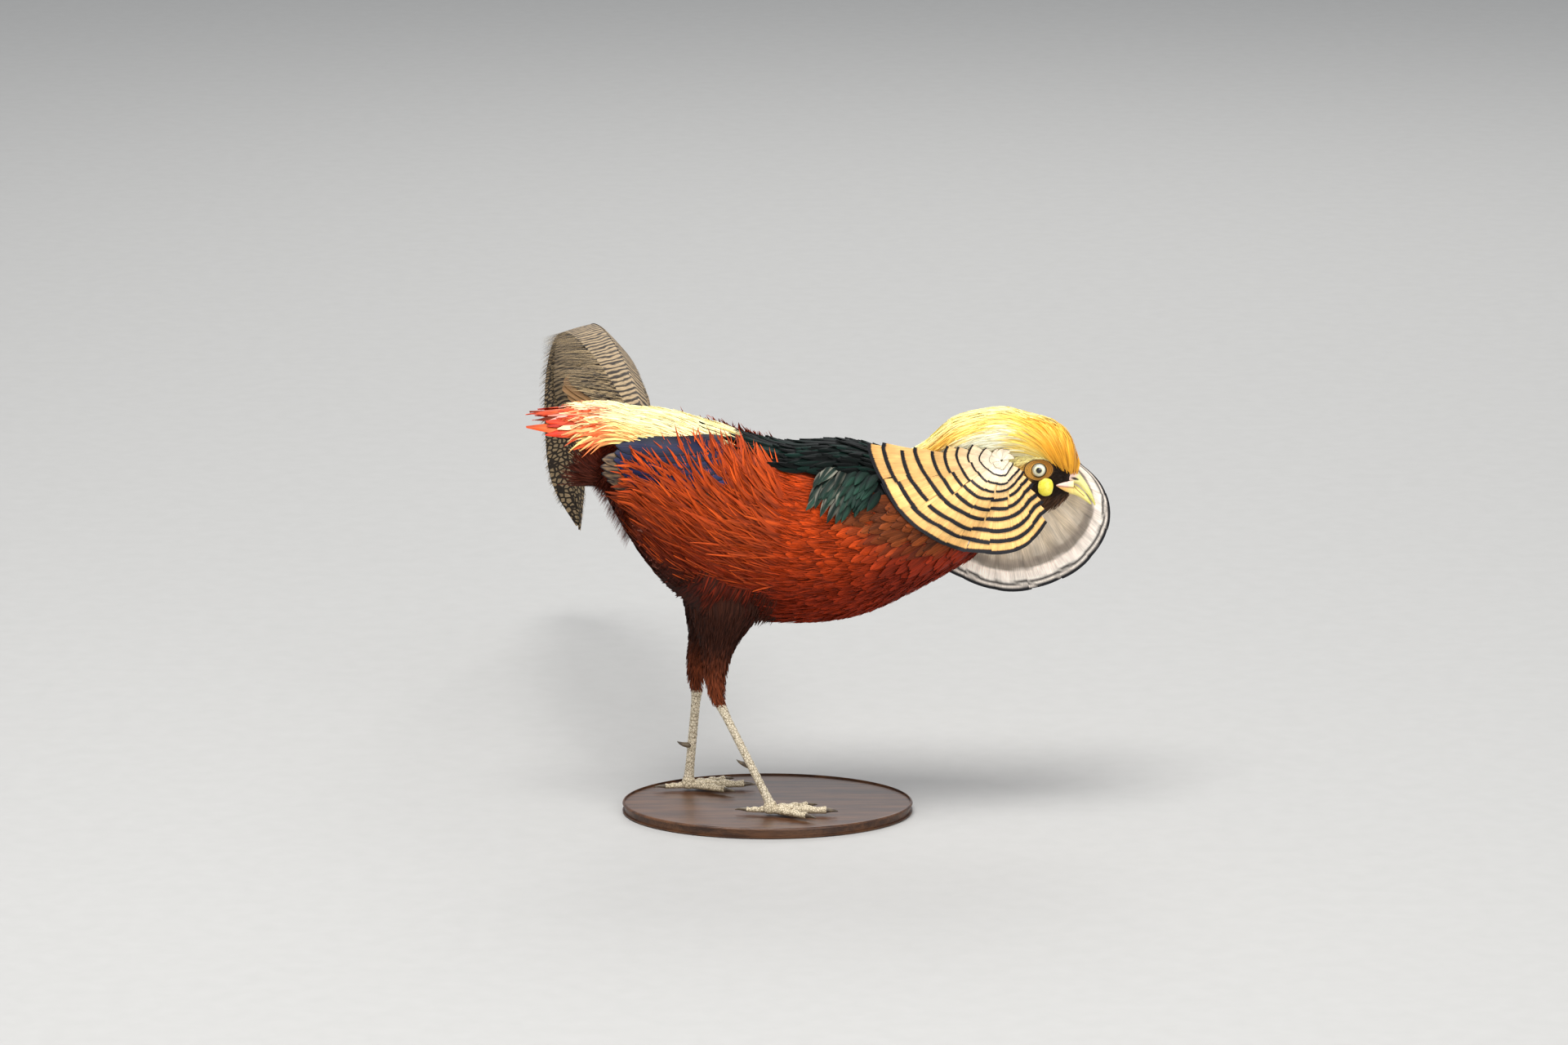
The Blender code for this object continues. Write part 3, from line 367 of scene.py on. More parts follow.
def strew(coat, side, area, length, half, shape, lift, heading, tint, spread=8.0, bend=0.0, roll=0.25,
          crown=0.0, columns=2, bright=(0.85, 1.1), edge=None, hull=body, surface=None, keep=None):
    """Covers an area of one side with feathers that run toward smaller x, and adds them to a coat.

    area is the first and last place, the spacing along and round the body, and the lowest and highest
    angle. lift is the level at the root, the rise to the tip, its spread and its power. heading is how
    far the feathers turn upward from straight back at every place they pass, in degrees.
    """
    x, up = rows_over(*area, hull).T
    if keep is not None:
        inside = keep(x, hull.bare(x, up)[:, 2])
        x, up = x[inside], up[inside]
    n, rows = len(x), len(shape)
    s, c = grid(rows, columns)
    hop = value(length, x) * vary(0.8, 1.2, n) / (rows - 1)
    stray, curl = vary(-1, 1, (2, n)) * ((spread,), (bend,))
    track = []
    at_x, at_up = x, up
    for k in range(rows):
        turn = np.radians(value(heading, at_x, np.degrees(at_up)) + stray + curl * s[0, k, 0])
        around = hull.bare(at_x, at_up + 0.02) - hull.bare(at_x, at_up - 0.02)
        arc = np.maximum(np.linalg.norm(around, axis=-1) / 0.04, 1.0)
        track.append((at_x, at_up, turn, arc))
        at_x, at_up = at_x - np.cos(turn) * hop, at_up + np.sin(turn) * hop / arc
    px, pa, turn, arc = (np.stack(v, 1)[:, :, None] for v in zip(*track))
    x, up, hop, half = (v[:, None, None] for v in (x, up, hop, value(half, x) + 0 * x))
    wide = half * np.asarray(shape)[:, None] * c
    px = px + wide * np.sin(turn)
    pa = pa + wide * np.cos(turn) / arc
    level, rise, uneven, power = lift
    grow = level + (value(rise, x) + vary(-1, 1, x.shape) * uneven) * s**power
    grow = grow + vary(-roll, roll, x.shape) * c + crown * (1 - c**2)
    points = (surface or hull.point)(px, pa if side == RIGHT else pi - pa, grow)
    along = hop * (rows - 1) * s
    colour = tint(x, np.degrees(up), s, wide / half) * vary(*bright, x.shape)[..., None]
    rim = INSIDE
    if edge is not None:
        rim = np.minimum(hop * (rows - 1) - along, half - np.abs(wide)) / edge[0] + edge[1]
    coat.add(points, colour, (wide, along), rim, root=on_map(x, up if side == RIGHT else pi - up))


# Where the kinds of plumage meet, as angles up the side in degrees at each forward place
mantle_low = table((-34, 84), (-29, 72), (6, 60), (29, 48), (40, 36), (64, 26), (76, 30), (110, 34))
rump_low = table((-122, 44), (-100, 38), (-75, 45), (-50, 60), (-30, 68), (-24, 80))
red_top = table((-122, 30), (-100, 24), (-78, 24), (-56, 46), (-42, 62), (-30, 68), (6, 60), (29, 48),
                (40, 36), (64, 24), (76, 28), (110, 34), (150, 60), (163, 80))

ORANGE_RED = paint(204, 70, 14)
DEEP_RED = paint(150, 42, 10)
CRIMSON = paint(136, 38, 14)
MAROON = paint(50, 24, 13)
FLAME = paint(234, 94, 24)
VENT = paint(136, 62, 44)
GREEN_BLACK = paint(10, 15, 13)
YELLOW = paint(255, 232, 140)
PALE = paint(255, 250, 206)
FACE = paint(214, 166, 78)
SOOT = paint(40, 29, 22)


def red_colour(x, degrees):
    """The red of breast, flank and belly at a place of the body."""
    # Lower down the red darkens to deep red and maroon: partly the plumage's own colour, partly painted shade
    # of the underside.
    return mix(ORANGE_RED, DEEP_RED, ease((14 - degrees) / 56),
               CRIMSON, 0.85 * ease((x - 62) / 40),
               MAROON, 0.8 * ease((-degrees - 46) / 30) * ease((35 - x) / 50),
               MAROON, 0.9 * ease((-degrees - 20) / 34) * np.exp(-(((x + 38) / 40) ** 2)),
               VENT, ease((-84 - x) / 22) * ease((24 - degrees) / 30),
               MAROON * 1.6, 0.55 * ease((-58 - x) / 30) * ease((-degrees - 4) / 40))


def face_colour(x, z):
    # Paler yellow above the eye, under the crest: partly the feathers' own colour, partly painted light
    # against the crest's shade.
    return mix(FACE, (255, 238, 160), ease((z - 249) / 4),
               SOOT, ease((243.5 - z) / 3.5) * ease((x - 178) / 5),
               SOOT, ease((251 - z) / 3) * ease((x - 194.5) / 3),
               (92, 64, 44), ease((x - 178) / 6) * ease((229 - z) / 6))


def skin_colour(points):
    """The colour under the feathers, by the same regions as the feathers over it."""
    x, y, z = points.T
    middle, rise, half = body.section(x, z)
    degrees = np.degrees(np.arctan2((z - middle) / rise, np.abs(y) / half + 1e-6))
    # The red and the yellow under the feathers are darkened as painted shade at the feathers' bases.
    return mix(red_colour(x, degrees) * 0.55,
               GREEN_BLACK, ease((degrees - mantle_low(x)) / 6) * ((x > -34) & (x < 130)),
               YELLOW * 0.7, ease((degrees - rump_low(x)) / 6) * (x < -34),
               MAROON, ease((166 - z) / 20) * (np.abs(x + 40) < 60),
               face_colour(x, z), ease((x - 160) / 6),
               (255, 226, 130), ease((z - middle - rise + 6) / 6) * (x > 110))


def node(tree, kind, inputs, out=0, **settings):
    """Adds a shader node, links or sets its inputs and gives back one of its outputs."""
    made = tree.nodes.new("ShaderNode" + kind)
    for key, setting in settings.items():
        setattr(made, key, setting)
    for key, source in inputs.items():
        if isinstance(source, bpy.types.NodeSocket):
            tree.links.new(source, made.inputs[key])
        else:
            made.inputs[key].default_value = source
    return made.outputs[out]


def attribute(tree, name, out="Vector"):
    return node(tree, "Attribute", {}, out, attribute_name=name)


def object_place(tree):
    return node(tree, "TexCoord", {}, "Object")


def scaled(tree, vector, sizes):
    return node(tree, "VectorMath", {0: vector, 1: sizes}, operation="MULTIPLY")


def noise(tree, vector, sizes, detail=2.0):
    """Noise over a place, with so many waves in each millimetre or metre along each axis."""
    return node(tree, "TexNoise", {"Vector": scaled(tree, vector, sizes), "Scale": 1.0, "Detail": detail})


def seams(tree, vector, **settings):
    """How far a point lies from the nearest seam between cells."""
    return node(tree, "TexVoronoi", {"Vector": vector, **settings}, feature="DISTANCE_TO_EDGE")


def ramp(tree, source, low, high, to_low=0.0, to_high=1.0):
    ends = {"From Min": low, "From Max": high, "To Min": to_low, "To Max": to_high}
    return node(tree, "MapRange", {"Value": source, **ends}, interpolation_type="SMOOTHSTEP")


def shaded(tree, colour, source, darkest, brightest, low=0.3, high=0.7):
    """A colour darkened and brightened by a noise."""
    factor = ramp(tree, source, low, high, darkest, brightest)
    return node(tree, "VectorMath", {0: colour, "Scale": factor}, operation="SCALE")


def blend(tree, share, *colours):
    first, second = (c if isinstance(c, bpy.types.NodeSocket) else (*light(c), 1.0) for c in colours)
    return node(tree, "Mix", {0: share, 6: first, 7: second}, 2, data_type="RGBA")


def sums(tree, source, factor, added):
    return node(tree, "Math", {0: source, 1: factor, 2: added}, operation="MULTIPLY_ADD")


def material(name, make, roughness, relief, specular=0.3, **weights):
    """A material whose colour and height come from make, which gets the node tree."""
    made = bpy.data.materials.new(name)
    made.use_nodes = True
    tree = made.node_tree
    shader = tree.nodes["Principled BSDF"]
    colour, height = make(tree)
    tree.links.new(colour, shader.inputs["Base Color"])
    normal = node(tree, "Bump", {"Height": height, "Distance": relief, "Strength": 0.6})
    tree.links.new(normal, shader.inputs["Normal"])
    shader.inputs["Roughness"].default_value = roughness
    shader.inputs["Specular IOR Level"].default_value = specular
    for key, weight in weights.items():
        shader.inputs[key.capitalize() + " Weight"].default_value = weight
    return made


BARB_RELIEF = 0.0003


def feather_material(name, roughness, streak, barb, specular=0.3, edge_colour=None, edge_soft=0.25):
    """Barbed plumage: streaks run along each feather, and a margin may have its own colour."""
    def make(tree):
        web = attribute(tree, "web")
        fine = noise(tree, web, (1.0 / barb, 0.06, 1.0), 3.0)
        colour = shaded(tree, attribute(tree, "tint", "Color"), fine, 1 - streak, 1 + streak)
        colour = shaded(tree, colour, noise(tree, web, (0.25, 0.09, 1.0)), 0.86, 1.14)
        if edge_colour is not None:
            rim = sums(tree, fine, 0.5, attribute(tree, "edge", "Fac"))
            colour = blend(tree, ramp(tree, rim, MARGIN - edge_soft, MARGIN + edge_soft), edge_colour, colour)
        return colour, fine

    return material(name, make, roughness, BARB_RELIEF, specular)


def surface_material(name, roughness, waves, variation, relief, colours=None, **weights):
    """A solid surface with fine variation in colour and relief."""
    def make(tree):
        spot = object_place(tree)
        fine = noise(tree, spot, (waves,) * 3, 4.0)
        base = attribute(tree, "tint", "Color")
        if colours is not None:
            base = blend(tree, ramp(tree, noise(tree, spot, (waves / 6,) * 3), 0.35, 0.65), *colours)
        return shaded(tree, base, fine, 1 - variation, 1 + variation), fine

    return material(name, make, roughness, relief, **weights)


def loft_mesh(name, *lofts, cap=True):
    """A mesh of one or more tubes, each over rings of equal count and, when cap is set, closed at both ends.
    """
    points, faces = [], []
    for rings in lofts:
        count, start = len(rings[0]), len(points)
        points.extend(p for ring in rings for p in ring)
        loop = [(j, (j + 1) % count) for j in range(count)]
        faces.extend((start + i * count + a, start + i * count + b, start + (i + 1) * count + b,
                      start + (i + 1) * count + a) for i in range(len(rings) - 1) for a, b in loop)
        if cap:
            last = start + (len(rings) - 1) * count
            hub = len(points)
            points.extend([np.mean(rings[0], 0), np.mean(rings[-1], 0)])
            faces.extend((hub, start + b, start + a) for a, b in loop)
            faces.extend((hub + 1, last + a, last + b) for a, b in loop)
    mesh = bpy.data.meshes.new(name)
    mesh.from_pydata(world(points), [], faces)
    mesh.update()
    return mesh


def loft(name, look, slot, replaced, tint, *lofts, cap=True):
    """Puts lofted tubes in the scene as one piece."""
    return place_object(name, loft_mesh(name, *lofts, cap=cap), look, replaced, tint)


def ring_around(centre, side, up, half_side, half_up, count, turn=0.0):
    angles = turn + np.arange(count) * TURN / count
    return (np.asarray(centre) + np.outer(np.cos(angles) * half_side, side)
            + np.outer(np.sin(angles) * half_up, up))


VOXEL = 0.0014
skin_depth = table((-122, 3.0), (150, 3.0), (163, 1.5), (190, 0.8), (208, 0.5))


def build_skin():
    """One closed skin over torso, neck, head and thighs, inside the plumage."""
    places = np.concatenate([np.linspace(body.first + 3, 160, 90), np.linspace(161, body.last, 48)])
    trunk = [body.point(x, AROUND, -skin_depth(x)) for x in places]
    crown = [crest.point(x, AROUND, -3.6) for x in np.linspace(128, crest.last - 3, 40)]
    for x, ring in zip(places, trunk):
        ring[:, 0] = x
    thighs = [[limb.point(-q, AROUND, -2.0) for q in np.linspace(0, limb.run[-1], 40)]
              for limb in limbs.values()]
    holder = link("skin_parts", loft_mesh("skin_parts", trunk, crown, *thighs))
    remesh = holder.modifiers.new("remesh", "REMESH")
    remesh.mode = "VOXEL"
    remesh.voxel_size = VOXEL
    smooth = holder.modifiers.new("smooth", "SMOOTH")
    smooth.factor = 0.5
    smooth.iterations = 4
    bpy.context.view_layer.update()
    shaped = holder.evaluated_get(bpy.context.evaluated_depsgraph_get())
    mesh = bpy.data.meshes.new_from_object(shaped)
    bpy.data.objects.remove(holder, do_unlink=True)
    mesh.materials.clear()
    place_object("skin", mesh, surface_material("skin", 0.7, 700.0, 0.25, 0.0004),
                 ("torso", "neck_left", "neck_right", "head", "thigh_left", "thigh_right"), skin_colour)


ROUND_TIP = (0.45, 0.8, 0.98, 1.0, 0.86, 0.5, 0.06)
HAIR = (0.8, 1.0, 0.75, 0.12)
LONG_HAIR = (0.7, 1.0, 1.0, 0.9, 0.6, 0.1)
SPIKE = (0.8, 1.0, 0.95, 0.8, 0.6, 0.36, 0.06)
DROP = (0.4, 0.8, 1.0, 1.0, 0.85, 0.55, 0.06)
SILK = (0.7, 0.95, 1.0, 1.0, 0.95, 0.85, 0.6, 0.1)


def sweep(x, degrees):
    """How far the red feathers turn upward from straight back."""
    base = np.interp(x, (-120, -70, -30, 30, 160), (44, 38, 26, 9, 3))
    base = base * (0.35 + 0.65 * ease((degrees + 40) / 60))
    return base + 18 * ease((degrees + 5) / 45) * ease((14 - x) / 50)


def loose(x):
    return ease((60 - x) / 90)


def scale_tint(x, degrees, s, c):
    return red_colour(x, degrees) * (0.4 + 0.55 * s)[..., None]


def barb_tint(x, degrees, s, c):
    flame = ease((degrees + 16) / 40) * ease((34 - x) / 70) * vary(0, 0.55, x.shape)
    return mix(red_colour(x, degrees), FLAME, flame * s) * (0.42 + 0.5 * s)[..., None]


def spike_tint(x, degrees, s, c):
    glow = vary(0.1, 0.9, x.shape) * (1 - 0.4 * np.abs(c))
    return mix(red_colour(x, degrees) * 0.6, FLAME, glow * s)


def build_red():
    """The red body plumage: scaly on the breast, loose and hair-like toward the flank."""
    scales = Coat()
    loose_red = feather_material("red_barbs", 0.55, 0.2, 0.3, 0.12)
    for name, side in SIDES.items():
        strew(scales, side, (158, -119, 6.5, 8.5, -90, red_top), table((0, 24), (100, 19), (160, 12)),
              table((-120, 4.2), (0, 5.0), (100, 5.6), (160, 4.0)), ROUND_TIP, (-2.6, 2.9, 0.3, 1), sweep,
              scale_tint, 5, roll=0.3, crown=0.4, columns=5, edge=(0.9, 0.55))
        barbs = Coat()
        strew(barbs, side, (156, -120, 2.1, 1.4, -90, red_top), lambda x: 13 + 18 * loose(x),
              lambda x: 0.36 + 0.18 * loose(x), LONG_HAIR, (-1.7, lambda x: 2.0 + 1.3 * loose(x), 0.8, 0.8),
              sweep, barb_tint, 10, 14, 0.2, bright=(0.45, 1.3))
        barbs.build("flank_barbs_" + name, "plumage_red", loose_red)
    scales.build("breast_feathers", "plumage_red", (0.65, 0.35, 0.45, 0.12, MAROON, 0.5))


# Pointed flank feathers: spacing along and round, lowest and highest root, length, half width, rise
SPIKES = (
    (5.0, 5.6, table((-96, -14), (4, 6)), table((-96, 12), (-70, 22), (-44, 36), (-24, 52), (6, 52)),
     table((-96, 20), (-64, 34), (6, 28)), 1.8, 8.0),
    (3.0, 3.6, table((-96, -26), (4, -6)), table((-96, 14), (-70, 24), (-44, 40), (-24, 54), (10, 54)),
     table((-96, 17), (-64, 30), (6, 25)), 0.85, 6.0),
    (2.6, 3.4, table((-96, -50), (4, -30)), table((-96, -20), (4, 4)),
     table((-96, 14), (-64, 22), (6, 22)), 0.6, 2.8),
)


def build_spikes():
    """Long pointed flank feathers that sweep up over the wing, and finer ones between and below."""
    coat = Coat()
    rising = table((-50, 5), (-7, 13), (16, 25), (38, 47), (60, 66))
    lean = table((-98, 0.9), (-60, 1.1), (-30, 1.05), (8, 0.7))
    for side in SIDES.values():
        for spacing, gap, lowest, highest, length, half, rise in SPIKES:
            strew(coat, side, (6, -98, spacing, gap, lowest, highest), length, half, SPIKE,
                  (-1.0, rise, 1.8, 0.85), lambda x, degrees: lean(x) * rising(degrees), spike_tint, 20, 20,
                  0.3, 0.25, 3, (0.5, 1.12), surface=trailing)
    coat.build("flank_spikes", "plumage_red", (0.5, 0.35, 0.4, 0.15))


def mantle_tint(x, degrees, s, c):
    # A green band down the middle of some feathers is a painted sheen on the black-green.
    shine = ease(vary(-1, 1, x.shape)) * np.exp(-((c * 1.8) ** 2))
    return mix(GREEN_BLACK * 0.5, (14, 44, 36), 0.7 * shine)


def hanging_tint(x, degrees, s, c):
    # The green down each feather, off its middle and strongest toward the tip, is a painted sheen.
    shine = np.exp(-((c * 1.5 + 0.3) ** 2)) * vary(0.35, 1, x.shape)
    pale = ease((60 - x) / 16) * vary(0.2, 0.9, x.shape) * ease((np.abs(c) - 0.3) / 0.5)
    return mix((6, 13, 12), (42, 74, 60), shine * (0.2 + 0.8 * s), (190, 184, 164), 0.8 * pale * ease(s * 2))


def build_mantle():
    """Black-green feathers over the shoulders, and ones that hang behind the cape; both carry a painted green
    sheen, stronger on the hanging ones.
    """
    over, hanging = Coat(), Coat()
    for side in SIDES.values():
        strew(over, side, (112, -32, 5.0, 6.0, table((-34, 86), (0, 66), (30, 54), (112, 50)), 90),
              table((-34, 32), (30, 28), (112, 18)), 3.8, DROP, (0.2, 2.6, 0.8, 1), -6, mantle_tint, 9, 8,
              0.5, 0.7, 7, edge=(0.9, 0.4))
        strew(hanging, side, (72, 35, 4.4, 4.6, table((35, 40), (52, 28), (72, 36)), 60), 21, 3.1, DROP,
              (0.9, 3.6, 1.2, 1), -60, hanging_tint, 9, 8, 0.6, 0.7, 7, (0.6, 1.2), (0.6, 0.8))
    over.build("mantle_feathers", "plumage_dark", (0.55, 0.3, 0.5, 0.05, (6, 7, 8), 0.4))
    hanging.build("hanging_feathers", "plumage_dark", (0.55, 0.3, 0.5, 0.15, (6, 7, 8), 0.4))


def shoulder_tint(x, degrees, s, c):
    brown_from = np.interp(x, (52, 80, 140), (26, 10, -16))
    tint = mix((140, 66, 24), (76, 36, 16), vary(0, 1, x.shape),
               red_colour(x, degrees), ease((brown_from - degrees) / 16))
    return tint * (0.55 + 0.5 * s)[..., None]


def build_shoulder():
    """Brown-orange scaly feathers with dark edges under the cape's rim."""
    coat = Coat()
    lowest, highest = table((52, 22), (64, -2), (110, -30), (140, -44)), table((52, 34), (74, 34), (132, 44))
    for side in SIDES.values():
        strew(coat, side, (140, 52, 5.0, 6.5, lowest, highest), 18, 4.2, ROUND_TIP, (-0.9, 2.4, 0.3, 1), -14,
              shoulder_tint, 6, 0, 0.4, 0.5, 5, (0.75, 1.15), (0.9, 0.4))
    coat.build("shoulder_feathers", "plumage_dark", (0.55, 0.35, 0.4, 0.12, (38, 18, 10), 0.5))


def plume_tint(x, degrees, s, c):
    # Paler toward the top of the rump: a painted highlight where the light falls from above.
    pale = ease((degrees - 40) / 30) * vary(0.3, 1.0, x.shape)
    # Darker orange plumes low on the side: partly the rump's own orange, partly painted shade.
    dark = 0.8 * ease((62 - degrees) / 14) * (chance.random(x.shape) < 0.4)
    rear = ease((-84 - x) / 24) * vary(0, 1.6, x.shape) * ease((88 - degrees) / 14)
    return mix(YELLOW, PALE, pale, (226, 140, 76), dark, (228, 86, 32), rear * ease((s - 0.1) / 0.6))


def covert_tint(x, degrees, s, c):
    tint = mix((250, 176, 84), (196, 84, 34), vary(0, 1, x.shape),
               mix((206, 40, 16), (222, 84, 34), vary(0, 1, x.shape)), ease(s * 1.7 - 0.4))
    pink = (chance.random(x.shape) < 0.5) * ease((degrees - 66) / 8) * ease((x + 112) / 5)
    return mix(tint, (252, 226, 208), pink)


# Rump plumes: spacing along and round, half width, level, brightness
PLUMES = ((3.4, 2.4, 1.5, 0.2, (0.8, 0.98)), (1.9, 1.3, 0.5, 1.3, (0.86, 1.06)))


def build_rump():
    """Hair-like yellow plumes over the rump and, behind them, pointed orange-red feathers."""
    plumes, coverts = Coat(), Coat()
    length = table((-121, 26), (-104, 30), (-90, 33), (-24, 30))
    for side, lowest in ((RIGHT, rump_low), (LEFT, table((-122, 58), (-60, 62), (-30, 74), (-24, 80)))):
        for spacing, gap, half, level, bright in PLUMES:
            strew(plumes, side, (-22, -121, spacing, gap, lowest, 90), length, half, LONG_HAIR,
                  (level, 3.4, 1.4, 0.7), lambda x, degrees: -5 * ease((54 - degrees) / 20), plume_tint, 6, 9,
                  0.3, 0.2, 3, bright, surface=arched)
        # The wide spread of brightness darkens some covert feathers as painted shade among them.
        strew(coverts, side, (-98, -126, 4.2, 3.2, 44 if side == RIGHT else 54, 90), 44, 2.5, SPIKE,
              (0.4, 2.6, 2.2, 1), lambda x, degrees: 5 * ease((62 - degrees) / 20), covert_tint, 8, 8,
              0.7, 0.5, 5, (0.55, 1.1), surface=arched)
    plumes.build("rump_plumes", "plumage_yellow", (0.45, 0.1, 0.3, 0.2), ("rump",))
    coverts.build("tail_coverts", "plumage_red", (0.5, 0.35, 0.5, 0.2))


# Folded wing, rows from the body outward: root, tip, height of the first and of the last feather's
# middle at the root, rise from root to tip, count, half width, level over the body, kind
WING_ROWS = (
    (-46, -112, 227, 236, 8, 3, 5.0, 0.3, "white"),
    (-42, -120, 237, 255, 2, 5, 5.4, 0.9, "brown"),
    (-34, -110, 244, 265, 0, 6, 6.0, 2.0, "blue"),
)
TAIL_CLEARS = -40.0  # behind this place the left wing slopes down, under the tail
WING_SLOPE = 0.42
WING_DROP = 20.0


def side_angle(side, x, height):
    """The angle round the body at a height of the side view."""
    middle, rise = body.section(np.maximum(x, BODY_END), height)[:2]
    reach = np.clip((height - middle) / rise, -0.985, 0.985)
    angle = np.arcsin(np.sign(reach) * np.abs(reach) ** (1 / FULLNESS))
    return angle if side == RIGHT else pi - angle


def build_wings():
    """Folded wings: broad blue inner feathers over mottled brown ones, one with a white margin."""
    s, c = grid(18, 9)
    shape = np.interp(s, (0, 0.15, 0.7, 0.9, 0.97, 1), (0.5, 0.85, 1.0, 0.85, 0.5, 0.12))
    total = sum(row[5] for row in WING_ROWS)
    for name, side in SIDES.items():
        coat = Coat()
        for root, tip, low_z, high_z, rise, count, half, level, kind in WING_ROWS:
            share = np.linspace(0, 1, count)[:, None, None]
            reach = (tip - root) * (1 - 0.12 * np.abs(share - 0.6)) * (0.86 if side == LEFT else 1.0)
            wide = half * shape * c
            x = root - 5 * share + reach * s + 0 * c
            z = low_z + (high_z - low_z) * share + rise * s + wide
            if side == LEFT:
                z = z - np.clip(WING_SLOPE * (TAIL_CLEARS - x), 0, WING_DROP)
            lift = level + 0.35 * share * count + 0.9 * s - 0.35 * c + 0.4 * (1 - c**2)
            if kind == "blue":
                # Each blue feather is brightest down its middle, a painted sheen that fades on the upper
                # feathers.
                glow = np.exp(-((c + 0.2) ** 2) * 3) * (1 - share * 0.6)
                tint = mix((14, 17, 34), (32, 35, 82), 0.9 * glow)
            else:
                marks = np.sin(-reach * s * 1.3 + np.abs(wide) * 1.4) > 0.2
                white = (kind == "white") * (share < 0.7) * (np.abs(c + 0.8) < 0.2) * (s > 0.72)
                tint = mix((46, 36, 32), (132, 104, 74), 0.8 * marks, (226, 220, 208), white)
            edge = np.minimum(half * shape * (1 - np.abs(c)), -reach * (1 - s)) / 0.7 + 0.5
            points = trailing(x, side_angle(side, x, z), lift)
            coat.add(points, tint, (wide, -reach * s), edge, cells=total)
        coat.build("wing_feathers_" + name, "plumage_blue", (0.5, 0.22, 0.6, 0.2, (10, 10, 16), 0.3),
                   ("wing_" + name,))


# Cape, rows from the rim inward: share of the fan's reach, width of the dark bar, width of a feather,
# and the degrees at which the right fan's row begins and ends
CAPE_ROWS = (
    (1.0, 2.8, 18, 172, 306), (0.885, 3.0, 18, 171.5, 310), (0.77, 3.0, 17, 171, 313),
    (0.65, 2.9, 16, 170, 317), (0.535, 2.6, 14, 168, 322), (0.435, 2.3, 13, 164, 327),
    (0.345, 1.9, 11, 158, 332), (0.255, 1.5, 9, 150, 338), (0.165, 1.1, 7, 142, 345),
    (0.09, 0.2, 4.5, 10, 370),
)
LEFT_START = 190.0
cape_level = table((0.1, 3.4), (0.3, 2.8), (0.54, 2.0), (0.78, 1.1), (1.0, 0.2))
# Colour of the fans' inner side, from the ear to the rim
LINING = ((0.0, (112, 92, 72)), (0.4, (208, 186, 158)), (0.7, (220, 200, 172)), (0.81, (146, 132, 118)),
          (0.845, (150, 138, 124)), (0.862, (255, 238, 222)), (0.93, (255, 244, 230)),
          (0.937, (24, 21, 22)), (0.951, (24, 21, 22)), (0.958, (250, 238, 224)),
          (0.97, (246, 232, 218)), (0.977, (14, 13, 18)), (1.0, (12, 12, 18)))


def cape_fan(name):
    """The surface of a cape fan, the reach of its rim at an angle, and its last angle in degrees."""
    side, flare = SIDES[name], CAPE_FLARE[name]
    rows = np.asarray(CAPE_REACH[name], float)
    rim = smooth_curve(np.radians(rows[:, 0]), rows[:, 1])

    def surface(share, angle, lift):
        reach = share * rim(angle)
        x = EAR[0] + reach * np.cos(angle)
        z = EAR[2] + reach * np.sin(angle)
        under = body.half_width(np.clip(x, body.first, body.last), z)
        free = EAR[1] + flare * np.maximum(reach - 12, 0)
        y = np.maximum(free, under + CAPE_OVER) + lift
        return np.stack(np.broadcast_arrays(x, side * y, z), -1)

    return surface, rim, rows[-1, 0]


def fan_places(share, width, start, end, rim):
    """How many feathers stand between two angles, the middle of each and the step between them."""
    arc = share * rim(np.linspace(start, end, 40)).mean() * (end - start)
    count = max(5, round(arc / width))
    step = (end - start) / count
    return count, (start + (np.arange(count) + 0.5) * step)[:, None, None], step


def cape_outside(name):
    """The gold side of a fan: rows of feathers, each row ending in a thin dark bar."""
    coat = Coat()
    surface, rim, last = cape_fan(name)
    s, c = grid(14, 9)
    rows = []
    for share, bar, width, *ends in CAPE_ROWS:
        start, end = (radians(v) for v in (ends if name == "right" else (LEFT_START, last)))
        rows.append((share, bar, start, end, *fan_places(share, width, start, end, rim)))
    total = sum(row[4] for row in rows)
    for i, (share, bar, start, end, count, turn, step) in enumerate(rows):
        inner = max(0.03, share - 2.3 * (share - CAPE_ROWS[i + 1][0])) if i < len(rows) - 1 else 0.01
        shape = (count, 1, 1)
        turn = turn + vary(-0.16, 0.16, shape) * step
        turn = np.clip(turn, start + 0.35 * step, end - 0.45 * step)
        wide = step * 0.58 * vary(0.92, 1.1, shape)
        reach = share * (1.0 if name == "right" else 0.984) + vary(-0.008, 0.008, shape)
        reach = reach + c * vary(-0.012, 0.012, shape)
        angle = turn + c * wide * (0.84 + 0.16 * s)
        place = inner + (reach - inner) * s - 0.003 * np.abs(c) ** 3 * s**4
        level = cape_level(share) - 0.5 * (1 - s) + 0.1 * (1 - c**2) + 0.1 * c
        gold = mix((255, 244, 216), (252, 206, 132), ease((share - 0.12) / 0.4))
        deep = mix(gold, (238, 156, 66), 0.7)
        tint = mix(gold, deep, s**2 * (0.3 + 0.6 * share)) * vary(0.92, 1.06, shape)[..., None]
        millimetres = (share - inner) * rim(turn)
        edge = (1 - s) * millimetres / bar + 0.08 * np.abs(c)
        coat.add(surface(place, angle, level), tint, (c * wide * place * rim(turn), s * millimetres), edge,
                 cells=total)
    return coat


